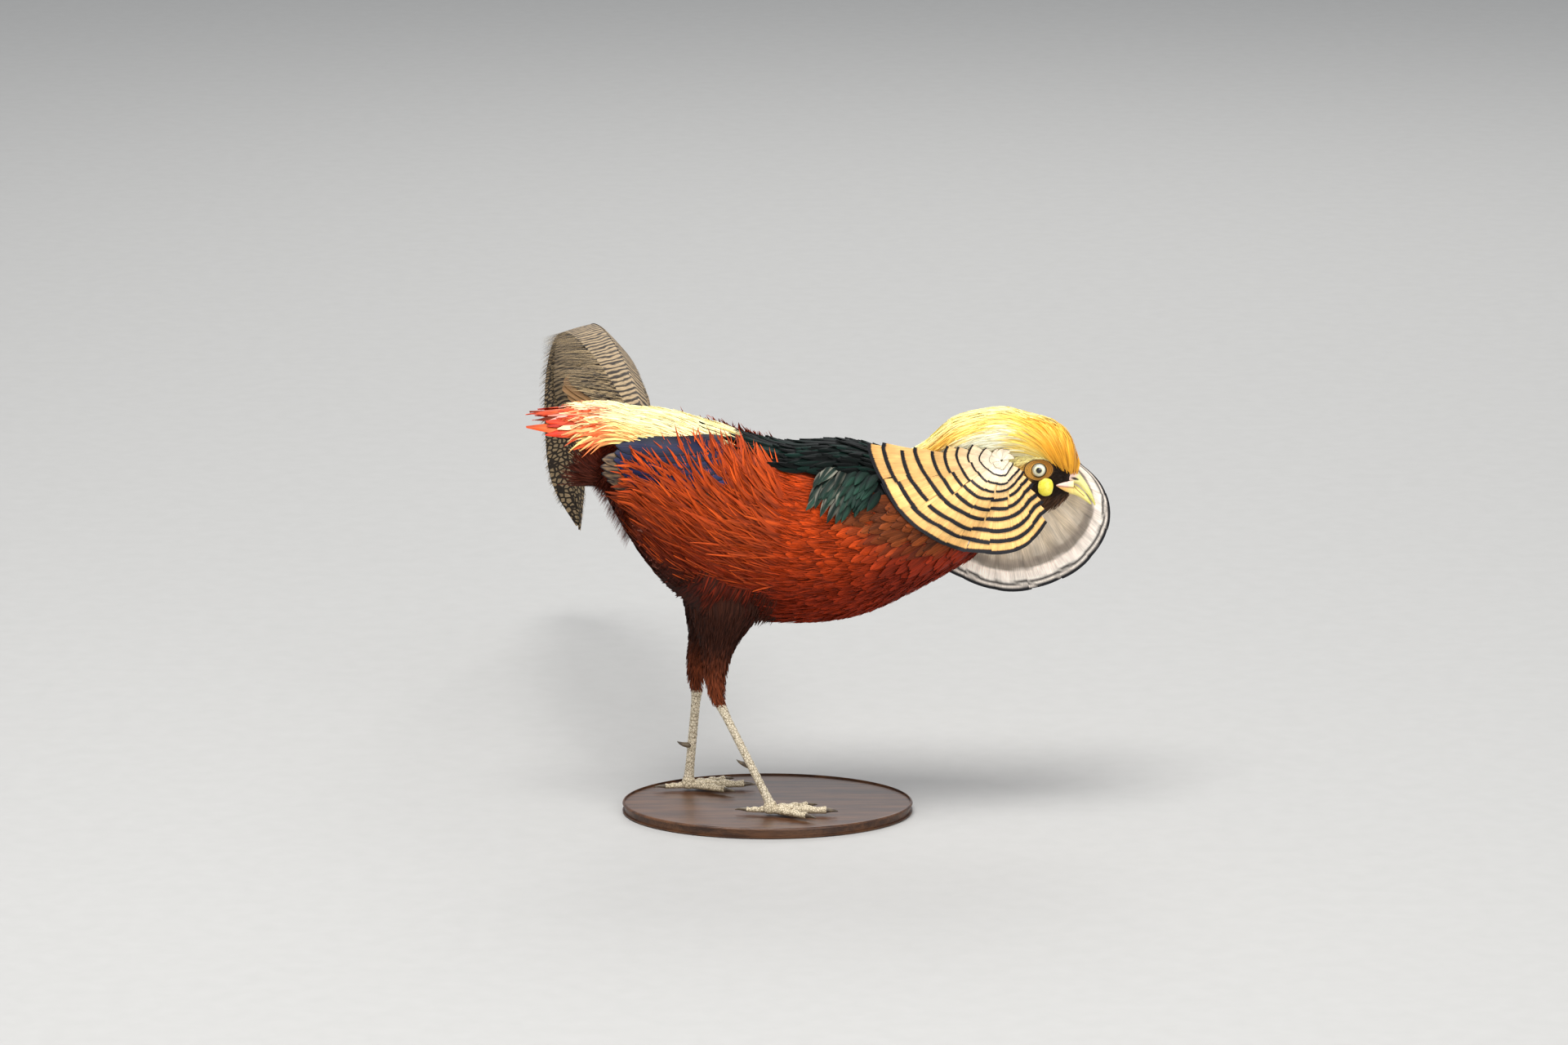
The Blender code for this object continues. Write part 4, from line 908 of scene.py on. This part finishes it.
def cape_lining(name):
    """The inner side of a fan: pale-shafted feathers with a pale band and dark lines at the rim."""
    coat = Coat()
    surface, rim, end = cape_fan(name)
    count, turn, step = fan_places(1.0, 22, radians(LEFT_START - 1), radians(end), rim)
    s, c = grid(56, 9, 0.06)
    share = s * (1 + vary(-0.006, 0.006, (count, 1, 1))) - 0.004 * np.abs(c) ** 3
    level = -1.0 - 1.0 * (1 - s) + 0.22 * c - 0.15 * (1 - c**2)
    knots, colours = zip(*((place, paint(*rgb)) for place, rgb in LINING))
    wave = share + 0.005 * np.sin(c * 3 + turn * 9)
    tint = np.stack([np.interp(wave, knots, channel) for channel in zip(*colours)], -1)
    pale = np.exp(-((c / 0.25) ** 2)) + 0.6 * np.exp(-(((c - 0.6) / 0.2) ** 2))
    tint = mix(tint, (224, 210, 190), 0.6 * pale * ease((s - 0.2) / 0.3) * (share < 0.78))
    web = (c * step * share * rim(turn) * 0.54, share * rim(turn))
    coat.add(surface(share, turn + c * step * 0.54, level), tint, web, cells=count)
    return coat


def build_cape():
    """Both cape fans, gold outside and pale inside."""
    gold = feather_material("cape_feathers", 0.45, 0.14, 0.4, 0.3, (14, 13, 20), 0.2)
    inside = feather_material("cape_lining", 0.55, 0.16, 0.5)
    for name in SIDES:
        cape_outside(name).build("cape_" + name, "plumage_gold", gold)
        cape_lining(name).build("cape_lining_" + name, "plumage_gold", inside)


crest_flow = table((110, -22), (135, -15), (158, -6), (172, 5), (184, 24), (196, 50), (206, 74), (214, 90))


def crest_heading(x, degrees):
    return crest_flow(x) * (1 - ease((degrees - 34) / 44))


def crest_tint(x, degrees, s, c):
    # Paler toward the top: a painted highlight where the light falls from above, varied from strand to
    # strand.
    pale = ease((degrees - 20) / 54) * vary(0.5, 1, x.shape)
    # Paler on the lower edge behind the eye: partly the crest's own pale hem, partly painted light against
    # the shade under the crest.
    side = ease((30 - degrees) / 22) * ease((194 - x) / 12) * vary(0.7, 1, x.shape)
    patch = np.exp(-(((x - 140) / 19) ** 2) - ((degrees - 40) / 19) ** 2)
    front = ease((x - 189) / 12) * ease((52 + 4 * (x - 200) - degrees) / 24) * ease((1.15 - s) / 0.6)
    tint = mix((255, 222, 100), (255, 248, 180), pale, (255, 253, 226), side,
               (250, 172, 40), 0.72 * patch + 0.95 * front)
    return tint * (0.9 + 0.14 * s)[..., None]


def crest_length(x):
    return np.minimum(np.interp(x, (122, 165, 195, 213), (24, 36, 30, 24)), x - 98)


def build_crest():
    """Fine silky strands that rise from the bill's base and flow back over crown and nape."""
    silk = feather_material("crest_silk", 0.4, 0.1, 0.35)
    lowest = table((100, -30), (160, -62), (190, -60), (200, -43), (213, -43))
    for name, depth, rise, width, spacing, gap, columns in (("locks", -3.2, 3.6, 1.5, 3.0, 2.0, 3),
                                                            ("strands", -1.7, 2.8, 0.5, 1.8, 1.2, 2)):
        coat = Coat()
        for side in SIDES.values():
            strew(coat, side, (213.6, 120, spacing, gap, lowest, 90), crest_length, width, SILK,
                  (depth, rise, 0.6, 0.7), crest_heading, crest_tint, 5, 5, 0.2, columns=columns,
                  bright=(0.88, 1.06), hull=crest)
        coat.build("crest_" + name, "head_plumage", silk)


def face_tint(x, degrees, s, c):
    return face_colour(x, body.bare(x, np.radians(degrees))[..., 2])


def beside_eye(x, z):
    return np.hypot((x - EYE_X) / 11.4, (z - EYE_Z) / 8.2) > 1.0


def build_face():
    """Short feathers of cheek, lores, chin and throat."""
    coat = Coat()
    for side in SIDES.values():
        strew(coat, side, (208, 150, 0.95, 0.9, -90, table((150, 60), (186, 34), (208, 62))),
              table((150, 7), (185, 3.6), (208, 2.6)), 0.5, HAIR, (-0.9, 1.4, 0.2, 1), -6, face_tint, 12, 0,
              0.15, bright=(0.75, 1.2), keep=beside_eye)
        strew(coat, side, (206, 176, 1.7, 1.5, -90, -28), 7.5, 0.4, LONG_HAIR, (-0.6, 2.8, 0.8, 1), -12,
              face_tint, 16, 10, 0.15, bright=(0.6, 1.8))
    coat.build("face_feathers", "head_plumage", (0.6, 0.2, 0.3, 0.15))


def head_side(x, z, side, lift):
    """A point on the side of the head at a place of the side view."""
    return np.stack(np.broadcast_arrays(x, side * (body.half_width(x, z) + lift), z), -1)


def ball_rings(centre, side, radii, push=None):
    """Rings of a ball on one side, whose points push may move in or out."""
    x, y, z = centre
    rings = []
    for a in np.linspace(0.03, pi - 0.03, 72):
        way = np.stack([np.sin(a) * np.cos(AROUND), np.sin(a) * np.sin(AROUND), np.cos(a) + 0 * AROUND], -1)
        size = 1.0 if push is None else 1 + push(way)[:, None]
        rings.append(np.array((x, side * y, z)) + way * np.asarray(radii) * size)
    return rings[::-1]


def iris_tint(co):
    off = np.hypot(co[:, 0] - EYE_X, co[:, 2] - EYE_Z)
    return mix((12, 10, 10), (236, 230, 182), ease((off - 1.95) / 0.3),
               (255, 255, 228), ease((off - 2.4) / 0.8), (206, 198, 132), ease((off - 4.5) / 0.6),
               (16, 14, 12), ease((off - IRIS_RADIUS) / 0.25))


# Bare skin round the eye: half length and half height; lobe below it: centre and half sizes
EYE_SKIN = (10.9, 7.7)
WATTLE_CENTRE = (190.8, 13.6, 233.2)
WATTLE_RADII = (5.6, 2.5, 6.6)


def build_eyes():
    """Cream eyes with a small black pupil, in rings of bare ochre skin."""
    iris = surface_material("eye_iris", 0.12, 2500.0, 0.06, 0.00001, coat=1.0)
    bare = surface_material("eye_skin", 0.5, 2200.0, 0.18, 0.0002, coat=0.1)
    for name, side in SIDES.items():
        loft("eyeball_" + name, iris, "eye_iris", ("eye_" + name,), iris_tint,
             ball_rings(EYE_CENTRE, side, (EYE_RADIUS,) * 3))
        rings, tints = [], []
        for t in np.linspace(0, 1, 40):
            reach_x, reach_z = (IRIS_RADIUS + (r - IRIS_RADIUS) * t for r in EYE_SKIN)
            fold = 0.28 * sin(t * 34) * (t > 0.1) + 1.25 * max(0, 1 - t / 0.22)
            # Dark rings in the skin's wrinkles are painted shade in the creases.
            crease_shade = 0.7 * (0.5 + 0.5 * sin(t * 30)) ** 3
            lift = 0.55 + fold - 0.5 * ease((t - 0.9) / 0.1)
            rings.append(head_side(EYE_X + reach_x * np.cos(AROUND), EYE_Z + reach_z * np.sin(AROUND),
                                   side, lift))
            tints.append(mix((218, 164, 76), (176, 118, 40), 0.5 + 0.5 * np.cos(AROUND - 0.4),
                             (76, 48, 18), crease_shade * (0.6 + 0.6 * t), (30, 22, 14), ease((0.14 - t) / 0.1),
                             (46, 30, 16), 0.9 * ease((t - 0.8) / 0.1)))
        loft("eye_skin_" + name, bare, "wattle_skin", (), np.concatenate(tints), rings, cap=False)


def build_wattles():
    """A yellow lobe of bare skin under each eye, slightly uneven."""
    yellow = surface_material("wattle_skin", 0.5, 1600.0, 0.08, 0.0003, ((255, 240, 110), (250, 226, 70)),
                              coat=0.1, subsurface=0.1)
    for name, side in SIDES.items():
        grain, phase = chance.normal(size=(3, 7)) * 6, vary(0, 6, 7)
        rings = ball_rings(WATTLE_CENTRE, side, WATTLE_RADII,
                           lambda way: np.sin(way @ grain + phase).sum(1) * 0.012)
        loft("wattle_lobe_" + name, yellow, "wattle_skin", ("wattle_" + name,), None, rings)


# Bill, from its base to the tip: forward place, height, half width, half depth
BILL = {
    "upper": ((208, 238.2, 6.4, 5.6), (212, 237.2, 5.6, 4.7), (216, 234.4, 4.4, 2.9), (219.6, 230, 3.2, 2.2),
              (222.6, 225.4, 2.3, 1.6), (224.9, 221, 1.5, 1.1), (226.6, 217, 0.5, 0.5)),
    "lower": ((207.5, 228.9, 5.6, 3.6), (212, 227.8, 5.0, 3.3), (216, 225.4, 4.0, 2.6),
              (219.4, 222.4, 2.9, 1.9), (222, 219.6, 1.7, 1.1), (223.8, 217.6, 0.6, 0.5)),
}
# Gape, from the bill back to the mouth's corner: forward place, height, half height
GAPE = ((211, 231.4, 4.8), (207.5, 231.9, 4.2), (204, 232.5, 3.0), (201, 233.2, 1.7), (198.4, 233.7, 0.3))
gape_line = table((198, 233.8), (204, 232.6), (211.3, 231.2), (220.7, 222.4))


def nostril(co):
    """How deep a point of the bill lies in the slit of a nostril, from 0 to 1."""
    along = co[:, 0] - 212.0
    return np.exp(-((along / 2.4) ** 2) - ((co[:, 2] - 237.2 + 0.3 * along) / 0.8) ** 2)


def bill_tint(co):
    x, z = co[:, 0], co[:, 2]
    upper = mix((255, 218, 200), (255, 246, 160), ease((x - 209) / 7 + (238 - z) / 9))
    lower = mix((250, 192, 108), (255, 236, 140), ease((x - 203) / 10))
    # The dark line along the gape and the dark nostril slit are painted shade in the slits.
    return mix(upper, lower, ease((gape_line(x) - z) / 0.8),
               (150, 74, 30), 0.9 * np.exp(-(((z - gape_line(x)) / 0.45) ** 2)) * (x < 219),
               (206, 206, 96), 0.5 * ease((x - 219) / 5), (34, 20, 14), ease(nostril(co) * 1.8))


def build_bill():
    """Both halves of the bill, with nostrils, and the yellow skin at the mouth's corners."""
    horn = surface_material("bill_horn", 0.34, 1500.0, 0.06, 0.00012, coat=0.2)
    for part, stations in BILL.items():
        places = smooth_curve(np.linspace(0, 1, len(stations)), stations)(np.linspace(0, 1, 60))
        rings = []
        for (x, z, half, deep), (dx, dz) in zip(places, unit(np.gradient(places[:, :2], axis=0))):
            ring = ring_around((x, 0, z), Y, (-dz, 0, dx), half, deep, 48)
            if part == "upper":
                flap = np.exp(-(((ring[:, 0] - 212.4) / 2.6) ** 2) - ((ring[:, 2] - 239.4) / 0.9) ** 2)
                ring[:, 1] *= 1 - 0.2 * nostril(ring) + 0.06 * flap
            rings.append(ring)
        loft("bill_horn_" + part, horn, "bill_horn", ("bill_" + part,), bill_tint, rings)
    for name, side in SIDES.items():
        rings = [ring_around(head_side(x, z, side, 0.2), Y, Z, 1.2, tall, 32)
                 for x, z, tall in smooth_curve(np.linspace(0, 1, 5), GAPE)(np.linspace(0, 1, 24))]
        loft("gape_" + name, horn, "bill_horn", (), bill_tint, rings)


TAIL_POINTS = np.asarray(TAIL_LINE, float)
TAIL_RUN = np.concatenate([[0], np.cumsum(np.linalg.norm(np.diff(TAIL_POINTS, axis=0), axis=1))])
TAIL_LENGTH = TAIL_RUN[-1]
tail_at = smooth_curve(TAIL_RUN / TAIL_LENGTH, TAIL_POINTS)


def tail_point(place, across, lift):
    """A point of the roof-shaped tail: share of its length, sideways place to the right, lift."""
    ahead = unit(tail_at(np.clip(place + 0.01, 0, 1)) - tail_at(np.clip(place - 0.01, 0, 1)))
    left = unit(np.cross(Z, ahead))
    slope = np.where(across < 0, TAIL_SLOPE["left"], TAIL_SLOPE["right"])[..., None]
    up = np.cross(ahead, left)
    out = np.where(across[..., None] < 0, left, -left) * np.cos(slope) - up * np.sin(slope)
    return tail_at(place) + np.abs(across)[..., None] * out + lift[..., None] * up


# Tail feathers, from the middle pair outward: share of the full length, sideways place, half width
RECTRICES = ((1.0, 12.5, 12.5), (0.8, 12.5, 11.5), (0.62, 17, 10.5), (0.48, 22, 10), (0.35, 27, 9.5),
             (0.31, 33, 9.5), (0.27, 39, 9), (0.23, 45, 8.5), (0.2, 50, 8))
VANE_LEVEL = 1.2
TAIL_SPREAD = {"right": 0.5, "left": 1.0}
QUILLS, TAIL_START = 0.05, 0.02
RIM_BARBS = 620  # loose barbs along a rim of the tail's full length
tail_vane = smooth_curve((0, 0.25, 0.5, 0.8, 0.95, 1), (0.2, 0.8, 1, 0.85, 0.5, 0.1))


def tail_rim(rims, side, share, tip, pair, s, half, centre):
    """Loose barbs along the outer edge of a tail feather."""
    count = int(share * RIM_BARBS)
    at = vary(0.03, 0.97, count)
    where = TAIL_START + (tip - TAIL_START) * at
    steps, c = grid(4, 2)
    ragged = 1 + 3.0 * (side == LEFT) * np.exp(-(((at * share - 0.3) / 0.2) ** 2))
    reach = (vary(2.5, 7.5, count) * (0.4 + 0.6 * np.sin(at * pi)) * ragged)[:, None, None]
    along = where[:, None, None] + (0.9 * reach * steps + 0.34 * c * (1 - 0.8 * steps)) / TAIL_LENGTH
    root = np.interp(at, s, centre) - side * np.interp(at, s, half) * 0.96
    across = root[:, None, None] - side * reach * steps * 0.8 + 0 * along
    sag = -VANE_LEVEL * pair - vary(-0.5, 2.2, count)[:, None, None] * steps**2
    tint = mix((178, 152, 110), (50, 40, 30), (chance.random(count) < 0.5)[:, None, None])
    rims.add(tail_point(np.clip(along, 0, 1), across, sag + 0 * along), tint, (across, along * TAIL_LENGTH),
             root=(where, 0.5 + 0.5 * np.interp(at, s, centre) / 60))


def build_tail():
    """Long arched middle feathers over shorter barred ones, with loose barbs at the rims."""
    middle, outer, rims = Coat(), Coat(), Coat()
    c = np.linspace(-1, 1, 11)
    for pair, (share, place, width) in enumerate(RECTRICES):
        for k, (name, side) in enumerate(SIDES.items()):
            tip = share * vary(0.985, 1.0)
            s = np.linspace(0, 1, int(90 * share) + 12)
            along = TAIL_START + (tip - TAIL_START) * s
            half = width * tail_vane(s)
            apart = place * TAIL_SPREAD[name] * ease((along - QUILLS) / 0.19) * (pair > 0)
            together = ease((along - 0.22) / 0.12)
            centre = -side * (np.maximum(apart, half) * (1 - together) + half * together - 0.6)
            across = centre[None, :, None] + half[None, :, None] * c
            points = tail_point(along[None, :, None] + 0 * across, across,
                                0.5 * (1 - c**2) - VANE_LEVEL * pair - 0.35 * k + 0 * across)
            web = (half[None, :, None] * c, along[None, :, None] * TAIL_LENGTH)
            if pair > 5:
                rims.add(points, paint(124, 90, 52), web, root=(np.full(1, 0.1 * pair), np.full(1, 0.4 * k)))
            elif pair == 0:
                middle.add(points, paint(170, 146, 112), web, cells=2)
            else:
                outer.add(points, paint(170, 146, 112) * 0.8, web, cells=10)
            if pair < 5:
                tail_rim(rims, side, share, tip, pair, s, half, centre)
    middle.build("tail_middle_feathers", "plumage_tail", tail_material("spotted_tail", True),
                 ("tail", "tail_middle", "tail_tip"))
    outer.build("tail_outer_feathers", "plumage_tail", tail_material("barred_tail", False))
    rims.build("tail_rims", "plumage_tail", (0.6, 0.2, 0.3))


def tail_material(name, spotted):
    """Slanting dark bars on buff, which on the middle pair give way to buff spots in a dark net."""
    def make(tree):
        web = attribute(tree, "web")
        fine = noise(tree, web, (0.5, 1.6, 1.0), 3.0)
        both = node(tree, "VectorMath", {0: web}, operation="ABSOLUTE")
        slant = node(tree, "VectorMath", {0: both, 1: (0.35, -1.0, 0.0)}, "Value", operation="DOT_PRODUCT")
        wobble = sums(tree, noise(tree, web, (0.09, 0.13, 1.0), 3.0), 11.0, slant)
        wave = node(tree, "Math", {0: sums(tree, wobble, 0.8, 0.0)}, operation="SINE")
        mask = ramp(tree, wave, -0.95, 0.75)
        if spotted:
            cells = seams(tree, scaled(tree, web, (0.24, 0.19, 1.0)), Scale=1.0, Randomness=0.8)
            split = node(tree, "SeparateXYZ", {0: web}, "Y")
            net = ramp(tree, cells, 0.12, 0.22)
            mask = node(tree, "Mix", {0: ramp(tree, split, 230, 330), 2: mask, 3: net})
        colour = blend(tree, mask, (48, 39, 31), attribute(tree, "tint", "Color"))
        return shaded(tree, colour, fine, 0.75, 1.2), fine

    return material(name, make, 0.55, BARB_RELIEF, 0.2)


def belly_tint(x, degrees, s, c):
    # The belly's darkened reds are partly the plumage's own colour, partly painted shade of the underside.
    low = vary(0, 1, x.shape) * ease((degrees + 60) / 40)
    return mix(MAROON * 1.2, DEEP_RED * 0.6, low) * (1 - 0.4 * s)[..., None]


def vent_tint(x, degrees, s, c):
    return mix((204, 140, 120), (146, 50, 28), vary(0, 1, x.shape) ** 0.6)


def hung(x, angle, grow):
    """The body's surface, kept out beyond the tops of the thighs."""
    points = body.point(x, angle, grow)
    out = 48.5 + 0.8 * grow - 0.3 * np.maximum(164 - points[..., 2], 0)
    out = out - 1.2 * np.maximum(np.abs(points[..., 0] + 36) - 16, 0)
    points[..., 1] = np.sign(points[..., 1]) * np.maximum(np.abs(points[..., 1]), out)
    return points


STERN_COUNT = 2600


def build_stern(coat):
    """Downy feathers over the body's rear end, longest under the tail."""
    n = STERN_COUNT
    angle = vary(0, TURN, n)
    share = 1.5 * np.sqrt(chance.random(n))
    x = body.first + 3 + 34 * np.maximum(share - 1, 0) - 4 * np.maximum(1 - share**2, 0)
    share = np.minimum(share, 1)
    rim = body.bare(x, angle)
    middle = np.stack([x, 0 * x, body.section(x)[0]], -1)
    root = middle + (rim - middle) * share[:, None]
    way = unit(np.stack([-1.1 - 0 * angle, vary(-0.35, 0.35, n) + root[:, 1] / 60,
                         -0.9 + 0.02 * (root[:, 2] - 235)], -1))
    length = vary(8, 15, n) * (1.15 - 0.5 * share)
    s, c = grid(6, 2)
    wide = np.asarray(LONG_HAIR)[:, None] * c * 0.9
    along = s * length[:, None, None] + 0 * c
    points = root[:, None, None] + along[..., None] * way[:, None, None]
    points[..., 1] += wide
    points[..., 2] -= 3.0 * s**2
    warm = chance.random(n)[:, None, None] * (1 - 0.3 * s)
    coat.add(points, mix((112, 34, 16), (160, 84, 60), warm), (wide, along), root=on_map(rim[:, 0], angle))


def build_belly():
    """Long loose feathers of the belly over the thighs' upper ends, and downy ones at the vent."""
    coat = Coat()
    for side in SIDES.values():
        strew(coat, side, (2, -76, 2.0, 1.6, -54, -20), 21, 0.6, LONG_HAIR, (-1.2, 3.0, 1.0, 1), -70,
              belly_tint, 9, 0, 0.2, bright=(0.5, 1.4), surface=hung)
        strew(coat, side, (-48, -116, 3.0, 2.4, -90, table((-90, 12), (-60, -56))),
              table((-116, 8), (-80, 20)), 0.6, LONG_HAIR, (-1.2, 2.2, 1.2, 1), -64, vent_tint, 16, 14, 0.3,
              bright=(0.5, 1.25))
    build_stern(coat)
    coat.build("belly_feathers", "plumage_red", (0.6, 0.25, 0.3, 0.12))


def thigh_tint(x, degrees, s, c):
    return mix((54, 24, 13), (112, 52, 26), ease((-x - 30) / 44))


def build_thighs():
    """Short dark feathers down both thighs to the joint over the shank."""
    coat = Coat()
    for limb in limbs.values():
        end = limb.run[-1]
        length = table((-end, 5), (-end / 2, 11), (0, 18))
        strew(coat, RIGHT, (0, 2 - end, 1.8, 1.6, 0, 360), lambda x: np.minimum(length(x), end + x + 3.5),
              lambda x: 0.85 + 0.35 * x / end, HAIR, (-1.6, 2.2, 0.6, 1), 0, thigh_tint, 9, 0,
              bright=(0.6, 1.35), hull=limb)
    coat.build("thigh_feathers", "plumage_dark", (0.6, 0.3, 0.3, 0.12))


def scale_seams(tree):
    """Leg skin with the fine seams between small scales."""
    spot = object_place(tree)
    seam = ramp(tree, seams(tree, spot, Scale=520.0), 0.02, 0.12)
    colour = blend(tree, seam, (140, 124, 96), attribute(tree, "tint", "Color"))
    return shaded(tree, colour, noise(tree, spot, (900.0,) * 3, 3.0), 0.84, 1.12), seam


SCUTES = 15
# Spur, from root to tip: offset from the shank and radius
SPUR = ((2, 0, 0, 2.2), (-3, -1.2, 0.3, 2.2), (-6.5, -2.5, 1.2, 1.6), (-9, -3.4, 2.4, 1.0),
        (-10.5, -4, 3.6, 0.25))
# Foot under the shank: height and radius
PAD = ((ANKLE_HEIGHT, 3.9), (6.5, 4.4), (5.0, 4.9), (3.2, 5.3), (1.6, 5.1), (0.5, 4.6), (0.05, 4.0))


def build_legs():
    """Scaly shanks with their spurs, and feet with scuted toes and curved claws."""
    scaly = material("leg_scales", scale_seams, 0.45, 0.0002)
    horn = surface_material("claw_horn", 0.35, 1500.0, 0.2, 0.0001, ((74, 62, 50), (110, 96, 76)), coat=0.2)
    for name, side in SIDES.items():
        hock = limbs[name].line[-1, :3] + (0, 0, 1.5)
        centre = np.array((ANKLES[name][0], side * ANKLES[name][1], 0.0))
        ankle = centre + (0, 0, ANKLE_HEIGHT - 1.5)
        rings = []
        for s in np.linspace(0, 1, SCUTES * 6 + 1):
            ends = 0.26 * exp(-((s / 0.1) ** 2)) + 0.2 * exp(-(((1 - s) / 0.1) ** 2))
            wide = SHANK_RADIUS * (1 + ends)
            ring = ring_around((0, 0, 0), X, Y, wide * 0.96, wide * 0.84, 28)
            lip = 0.42 * ((s * SCUTES) % 1.0 - 0.3) * (0.02 < s < 0.98)
            ring *= 1 + lip * (0.4 + 0.6 * np.maximum(unit(ring)[:, :1], 0)) / wide
            rings.append(ring + hock + (ankle - hock) * s)
        loft("shank_scales_" + name, scaly, "leg_scales", ("shank_" + name,), lambda co: mix(
            (224, 210, 184), (150, 134, 106),
            0.7 * ease((((hock[2] - co[:, 2]) / (hock[2] - ankle[2]) * SCUTES) % 1.0 - 0.84) / 0.12)), rings)
        heel = hock + (ankle - hock) * 0.62
        loft("spur_" + name, horn, "claw_horn", (), None,
             [ring_around(heel + (dx, dy * side, dz), Y, Z, r, r, 20) for dx, dy, dz, r in SPUR])
        build_foot(name, side, centre, scaly, horn)


def build_foot(name, side, centre, scaly, horn):
    lofts = [[ring_around(centre + (0, 0, z), X, Y, r, r, 28) for z, r in PAD]]
    for toe, turn, length, radius in TOES:
        heading = radians(turn) * -side
        ahead = np.array((cos(heading), sin(heading), 0))
        across = np.array((-ahead[1], ahead[0], 0))
        plates = max(4, round(length / 3.1))
        rings, claw = [], []
        for s in np.linspace(0, 1, plates * 5 + 1):
            r = radius * (1 - 0.28 * s) * (1 + 0.1 * cos(s * 6 * pi))
            ring = ring_around(centre + ahead * (length + 2) * s + (0, 0, r * 0.9), across, Z, r, r, 20,
                               pi / 20)
            ring[:, 2] += 0.3 * ((s * plates) % 1.0 - 0.4) * np.maximum(ring[:, 2] - r * 0.9, 0) / r
            ring[:, 2] = np.maximum(ring[:, 2], 0.02)
            rings.append(ring)
        lofts.append(rings)
        r = radius * 0.62
        for s in np.linspace(0, 1, 14):
            high = r + 0.9 * sin(s * 2.2) - r * 0.65 * s
            p = centre + ahead * (length + 1.4 + CLAW_LENGTH * s) + (0, 0, high)
            wide = r * (1 - s) ** 0.7 * 0.9 + 0.2
            claw.append(ring_around(p, across, Z, wide * 0.8, min(wide, high), 16))
        claw_name = name + "_" + toe
        loft("claw_horn_" + claw_name, horn, "claw_horn", ("claw_" + claw_name,), None, claw)
    loft("foot_scales_" + name, scaly, "leg_scales", ("foot_" + name,),
         lambda co: mix((216, 200, 170), (156, 138, 108), ease((2.0 - co[:, 2]) / 2)), *lofts)


BASE_SIZE = (104.0, 76.0, 8.0)
BASE_CENTRE = (-6.0, 0.0)


def wood(tree):
    spot = object_place(tree)
    grain = noise(tree, spot, (14.0, 160.0, 160.0), 5.0)
    pores = noise(tree, spot, (90.0, 1500.0, 1500.0))
    colour = blend(tree, ramp(tree, grain, 0.35, 0.65), (64, 40, 26), (98, 64, 40))
    return shaded(tree, colour, pores, 0.7, 1.05, 0.35, 0.6), pores


def build_base():
    """The oval wooden board that the model stands on."""
    long, wide, thick = BASE_SIZE
    rounding = [(1.5 * (1 - cos(a)), 1.5 * (1 - sin(a))) for a in np.linspace(pi / 2, 0, 7)]
    rings = [ring_around((*BASE_CENTRE, -GAP - drop), X, Y, long - inset, wide - inset, 160)
             for drop, inset in [(thick - d, i) for d, i in rounding] + rounding[::-1]]
    look = material("base_wood", wood, 0.42, 0.0001, coat=0.15)
    obj = loft("base_board", look, "base_wood", ("stand_base",), None, rings)
    obj.data.set_sharp_from_angle(angle=radians(50))


def dust(tree):
    grain = noise(tree, object_place(tree), (60.0,) * 3, 4.0)
    return blend(tree, grain, np.array((0.44, 0.43, 0.41)), np.array((0.48, 0.47, 0.45))), grain


# Soft lights: place, power and size in metres and watts
LIGHTS = {"key": ((-0.5, -1.3, 3.0), 100, 1.5), "fill": ((1.0, -2.8, 0.9), 30, 1.8),
          "back": ((0.3, 2.4, 2.3), 36, 1.8)}
CAMERA_LENS = 161.6
CAMERA_RISE = radians(13)
CAMERA_AWAY = 5.0
CAMERA_AIM = (5.8, 0, 204.2)
LIGHTS_AIM = (5.8, 60, 200)


def build_stage():
    """Pale floor, soft lights and the photograph's camera."""
    scene = bpy.context.scene
    mesh = bpy.data.meshes.new("floor")
    mesh.from_pydata([(-14, -10, 0), (14, -10, 0), (14, 18, 0), (-14, 18, 0)], [], [(0, 1, 2, 3)])
    mesh.materials.append(material("floor", dust, 0.9, 0.0002))
    floor = link("floor", mesh)
    scene.world = bpy.data.worlds.new("studio")
    scene.world.use_nodes = True
    background = scene.world.node_tree.nodes["Background"]
    background.inputs["Color"].default_value = (0.86, 0.9, 0.96, 1)
    background.inputs["Strength"].default_value = 0.6
    middle = Vector(world(LIGHTS_AIM))
    for name, (place, power, size) in LIGHTS.items():
        lamp = bpy.data.lights.new(name, "AREA")
        lamp.energy = power
        lamp.size = size
        obj = link(name, lamp)
        obj.location = place
        obj.rotation_euler = (middle - Vector(place)).to_track_quat("-Z", "Y").to_euler()
    scene.view_settings.view_transform = "Standard"
    camera = bpy.data.cameras.new("camera")
    camera.sensor_width = 36.0
    camera.lens = CAMERA_LENS
    obj = link("camera", camera)
    back = Vector((0, -cos(CAMERA_RISE), sin(CAMERA_RISE)))
    obj.location = Vector(world(CAMERA_AIM)) + CAMERA_AWAY * back
    obj.rotation_euler = (pi / 2 - CAMERA_RISE, 0, 0)
    scene.camera = obj


for build in (build_stage, build_skin, build_red, build_spikes, build_mantle, build_shoulder, build_wings,
              build_rump, build_cape, build_crest, build_face, build_eyes, build_wattles, build_bill,
              build_tail, build_belly, build_thighs, build_legs, build_base):
    build()
